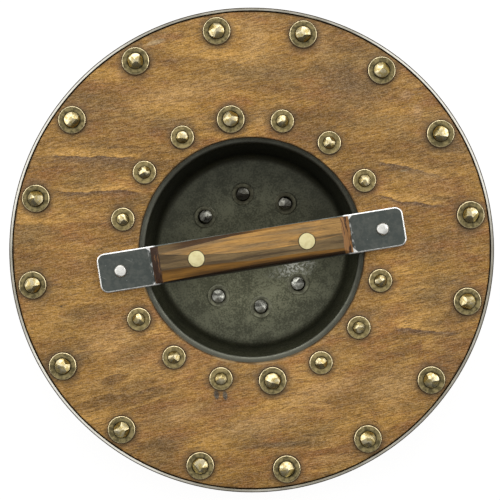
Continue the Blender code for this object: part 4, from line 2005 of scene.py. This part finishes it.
PALE, GOLD, DIRT = (0.52, 0.42, 0.25), (0.470, 0.265, 0.110), (0.070, 0.062, 0.046)
SMALL_MARKS = (
    Mark(-0.0450, 0.1590, 0.0100, 0.0022, (0.50, 0.36, 0.19), 0.70, lean=6.0),
    Mark(-0.1317, -0.1116, 0.0022, 0.0022, PALE, 0.7),
    Mark(-0.1420, -0.0185, 0.0014, 0.0010, (0.06, 0.04, 0.02), 0.8),
    Mark(-0.0416, -0.0990, 0.0024, 0.0045, DIRT, 1.00, ragged=0.2, soft=0.5),
    Mark(-0.0355, -0.1006, 0.0023, 0.0043, DIRT, 0.95, ragged=0.2, soft=0.5),
    Mark(0.1277, 0.0924, 0.0070, 0.0050, GOLD, 0.60),
    Mark(0.1343, 0.0800, 0.0050, 0.0070, GOLD, 0.55),
    Mark(0.1175, 0.0392, 0.0045, 0.0009, PALE, 0.5),
)
LICKS = (
    Lick(-0.1030, 0.0840, 0.040, 0.0085, 0.0100, -9.3),
    Lick(-0.1010, 0.0585, 0.038, 0.0060, 0.0050, -9.3),
    Lick(0.1220, 0.0405, 0.030, 0.0070, 0.0060, -20.0),
    Lick(0.1190, 0.0165, 0.032, 0.0070, 0.0040, -16.0),
    Lick(0.1138, -0.0765, 0.026, 0.0080, 0.0050, -16.0),
)
# The third number is how dark a washer gets at the rivet's foot, from grime and painted shade.
BRASS_WASHERS = {  # the light and dark of a washer's flat, and how grimy it is at the rivet's foot
    LARGE_BRASS: ((0.350, 0.282, 0.130), (0.135, 0.110, 0.052), 0.60),
    SMALL_BRASS: ((0.430, 0.340, 0.152), (0.200, 0.158, 0.070), 0.45),
}


def all_marks() -> tuple[Mark, ...]:
    """Return the board's marks, the wide ones first."""
    wide = [
        Mark(x * MM, y * MM, reach_x * MM, reach_y * MM, colour, share, lean, ragged=0.8, soft=0.9)
        for colour, places in WIDE_MARKS.items()
        for x, y, reach_x, reach_y, share, lean in places
    ]
    return (*wide, *SMALL_MARKS)


def build_brass(effects: Effects, rng: random.Random) -> None:
    """Make the board's brass rivets: the outer ring, the wide ones of the inner ring, and its small ones.

    Args:
        effects: The shared effects.
        rng: Where the hammering's chance comes from.
    """
    inner = {}
    for i in range(INNER_RING.count):
        if i % (INNER_RING.count // 2):
            inner[i] = f"inner_rivet_{len(inner) + 1:02d}"
    step = INNER_RING.count // WIDE_RING.count
    sets = (
        (OUTER_RING, LARGE_BRASS, {i: f"outer_rivet_{i + 1:02d}" for i in range(OUTER_RING.count)}),
        (INNER_RING, LARGE_BRASS, {i: name for i, name in inner.items() if i % step == 0}),
        (INNER_RING, SMALL_BRASS, {i: name for i, name in inner.items() if i % step}),
    )
    for ring, kind, names in sets:
        depth = rivet_depth(next(iter(names.values())), kind)
        metal = PeenedMetal(effects, "peened brass", (0.635, 0.553, 0.350), (0.420, 0.305, 0.066), depth)
        light, dark, foot_grime_and_shade = BRASS_WASHERS[kind]
        # The washer's edge colour is worn brass with a painted highlight.
        washer = WasherMetal(effects, "washer brass", kind, light, dark, (0.95, 0.81, 0.49), foot_grime_and_shade)
        maker = RivetMaker(kind, depth, rng)
        RivetSet(maker, rivet_seats(ring, kind, names), metal.make(), Slot.BRASS, washer.make()).build()


def rivet_seats(ring: RivetRing, kind: RivetKind, names: dict[int, str]) -> list[Seat]:
    """Return the seats of upright rivets of one kind, named by their step round a ring."""
    height = {node: Span.of(node).high.z - kind.tail_height for node in names.values()}
    return [Seat(node, ring.places(height[node])[step]) for step, node in names.items()]


def rivet_depth(node: str, kind: RivetKind) -> float:
    """Return how far an upright rivet's head lies from its tail."""
    return Span.of(node).size.z - kind.tail_height - kind.head_height


def build_steel(effects: Effects, rng: random.Random, boss: Boss) -> None:
    """Make the steel rivets of the handle and of the boss.

    Args:
        effects: The shared effects.
        rng: Where the hammering's chance comes from.
        boss: The boss that its rivets sit on.
    """
    names = {0: "handle_rivet_right", INNER_RING.count // 2: "handle_rivet_left"}
    depth = rivet_depth(names[0], HANDLE_STEEL)
    bright = PeenedMetal(effects, "bright steel", (0.93, 0.92, 0.86), (0.66, 0.65, 0.61), depth)
    maker = RivetMaker(HANDLE_STEEL, depth, rng, tilts=(6.0, 20.0), cuts=(0.80, 0.90))
    RivetSet(maker, rivet_seats(INNER_RING, HANDLE_STEEL, names), bright.make(), Slot.BRIGHT_STEEL).build()

    lift = Matrix.Translation((0.0, 0.0, CLEARANCE + BOSS_STEEL.washer_thickness))
    seats = [Seat(f"boss_rivet_{i}", place @ lift) for i, place in enumerate(boss.crown_places(), start=1)]
    depth = boss.thickness + 2 * CLEARANCE + BOSS_STEEL.washer_thickness
    # In the bowl, these rivets and their washers get painted shade on the bowl's upper side.
    steel = PeenedMetal(effects, "rivet steel", (0.42, 0.42, 0.37), (0.16, 0.16, 0.13), depth, in_bowl=True)
    # The boss washers' light, dark and edge colours; the edge is worn steel with a painted highlight.
    tones = ((0.25, 0.25, 0.17), (0.13, 0.13, 0.09), (0.38, 0.38, 0.28))
    washer = WasherMetal(effects, "boss washer steel", BOSS_STEEL, *tones, in_bowl=True)
    maker = RivetMaker(BOSS_STEEL, depth, rng, tilts=(12.0, 28.0), cuts=(0.76, 0.88))
    metals = (steel.make(), Slot.RIVET_STEEL, washer.make())
    RivetSet(maker, seats, *metals, slip=0.0004, sink_depth=0.0008).build()


def main() -> None:
    """Make the whole shield around the frame."""
    logging.basicConfig(level=logging.INFO, format="%(message)s")
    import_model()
    cad_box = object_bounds()
    rng = random.Random(7)
    effects = Effects()

    studio = Studio(cad_box)
    studio.floor()
    studio.lights()
    studio.camera()

    board = WoodBoard(Span.of("wood_disc"))
    rings = (OUTER_RING, INNER_RING, WIDE_RING)
    wood = StainedWood(effects, "stained wood", board.span, board.hole_radius, rings, all_marks(), LICKS)
    finish_piece(board.build(), wood.make(), Slot.STAINED_WOOD, "wood_disc")

    rim = RimBand(Span.of("rim_band"))
    finish_piece(rim.build(), RimSteel(effects, "rim steel", rim.span).make(), Slot.RIM_STEEL, "rim_band")

    boss = Boss(Span.of("boss"))
    black_steel = BossSteel(effects, "blackened steel", boss.span, boss.mouth_radius).make()
    finish_piece(boss.build(), black_steel, Slot.BLACKENED_STEEL, "boss")

    strap = Strap(Span.of("handle_strap"))
    pin_x = Span.of("grip_pin_right").middle.x
    back_scale = GripScale("back_scale", Span.of("grip_scale_back"), Side.BACK)
    front_scale = GripScale("front_scale", Span.of("grip_scale_front"), Side.FRONT)
    strap_steel = StrapSteel(effects, "strap steel", strap.span, strap.corner_radius, back_scale.span.high.x)
    finish_piece(strap.build(pin_x), strap_steel.make(), Slot.STRAP_STEEL, "handle_strap")
    grip_wood = GripWood(effects, "grip wood", back_scale.span, back_scale.end_width).make()
    finish_piece(back_scale.build(pin_x), grip_wood, Slot.GRIP_WOOD, "grip_scale_back")
    finish_piece(front_scale.build(pin_x), grip_wood, Slot.GRIP_WOOD, "grip_scale_front")

    pins = {side: Span.of(f"grip_pin_{side}") for side in ("left", "right")}
    pin_brass = PinBrass(effects, "pin brass", pins["left"].size.x / 2).make()
    master = GripPin(pins["right"]).build()
    for side, span in pins.items():
        pin = copy_to(master, f"pin_{side}", Matrix.Translation(span.middle))
        finish_piece(pin, pin_brass, Slot.PALE_BRASS, f"grip_pin_{side}")
    bpy.data.objects.remove(master, do_unlink=True)

    build_brass(effects, rng)
    build_steel(effects, rng, boss)


if __name__ == "__main__":
    main()
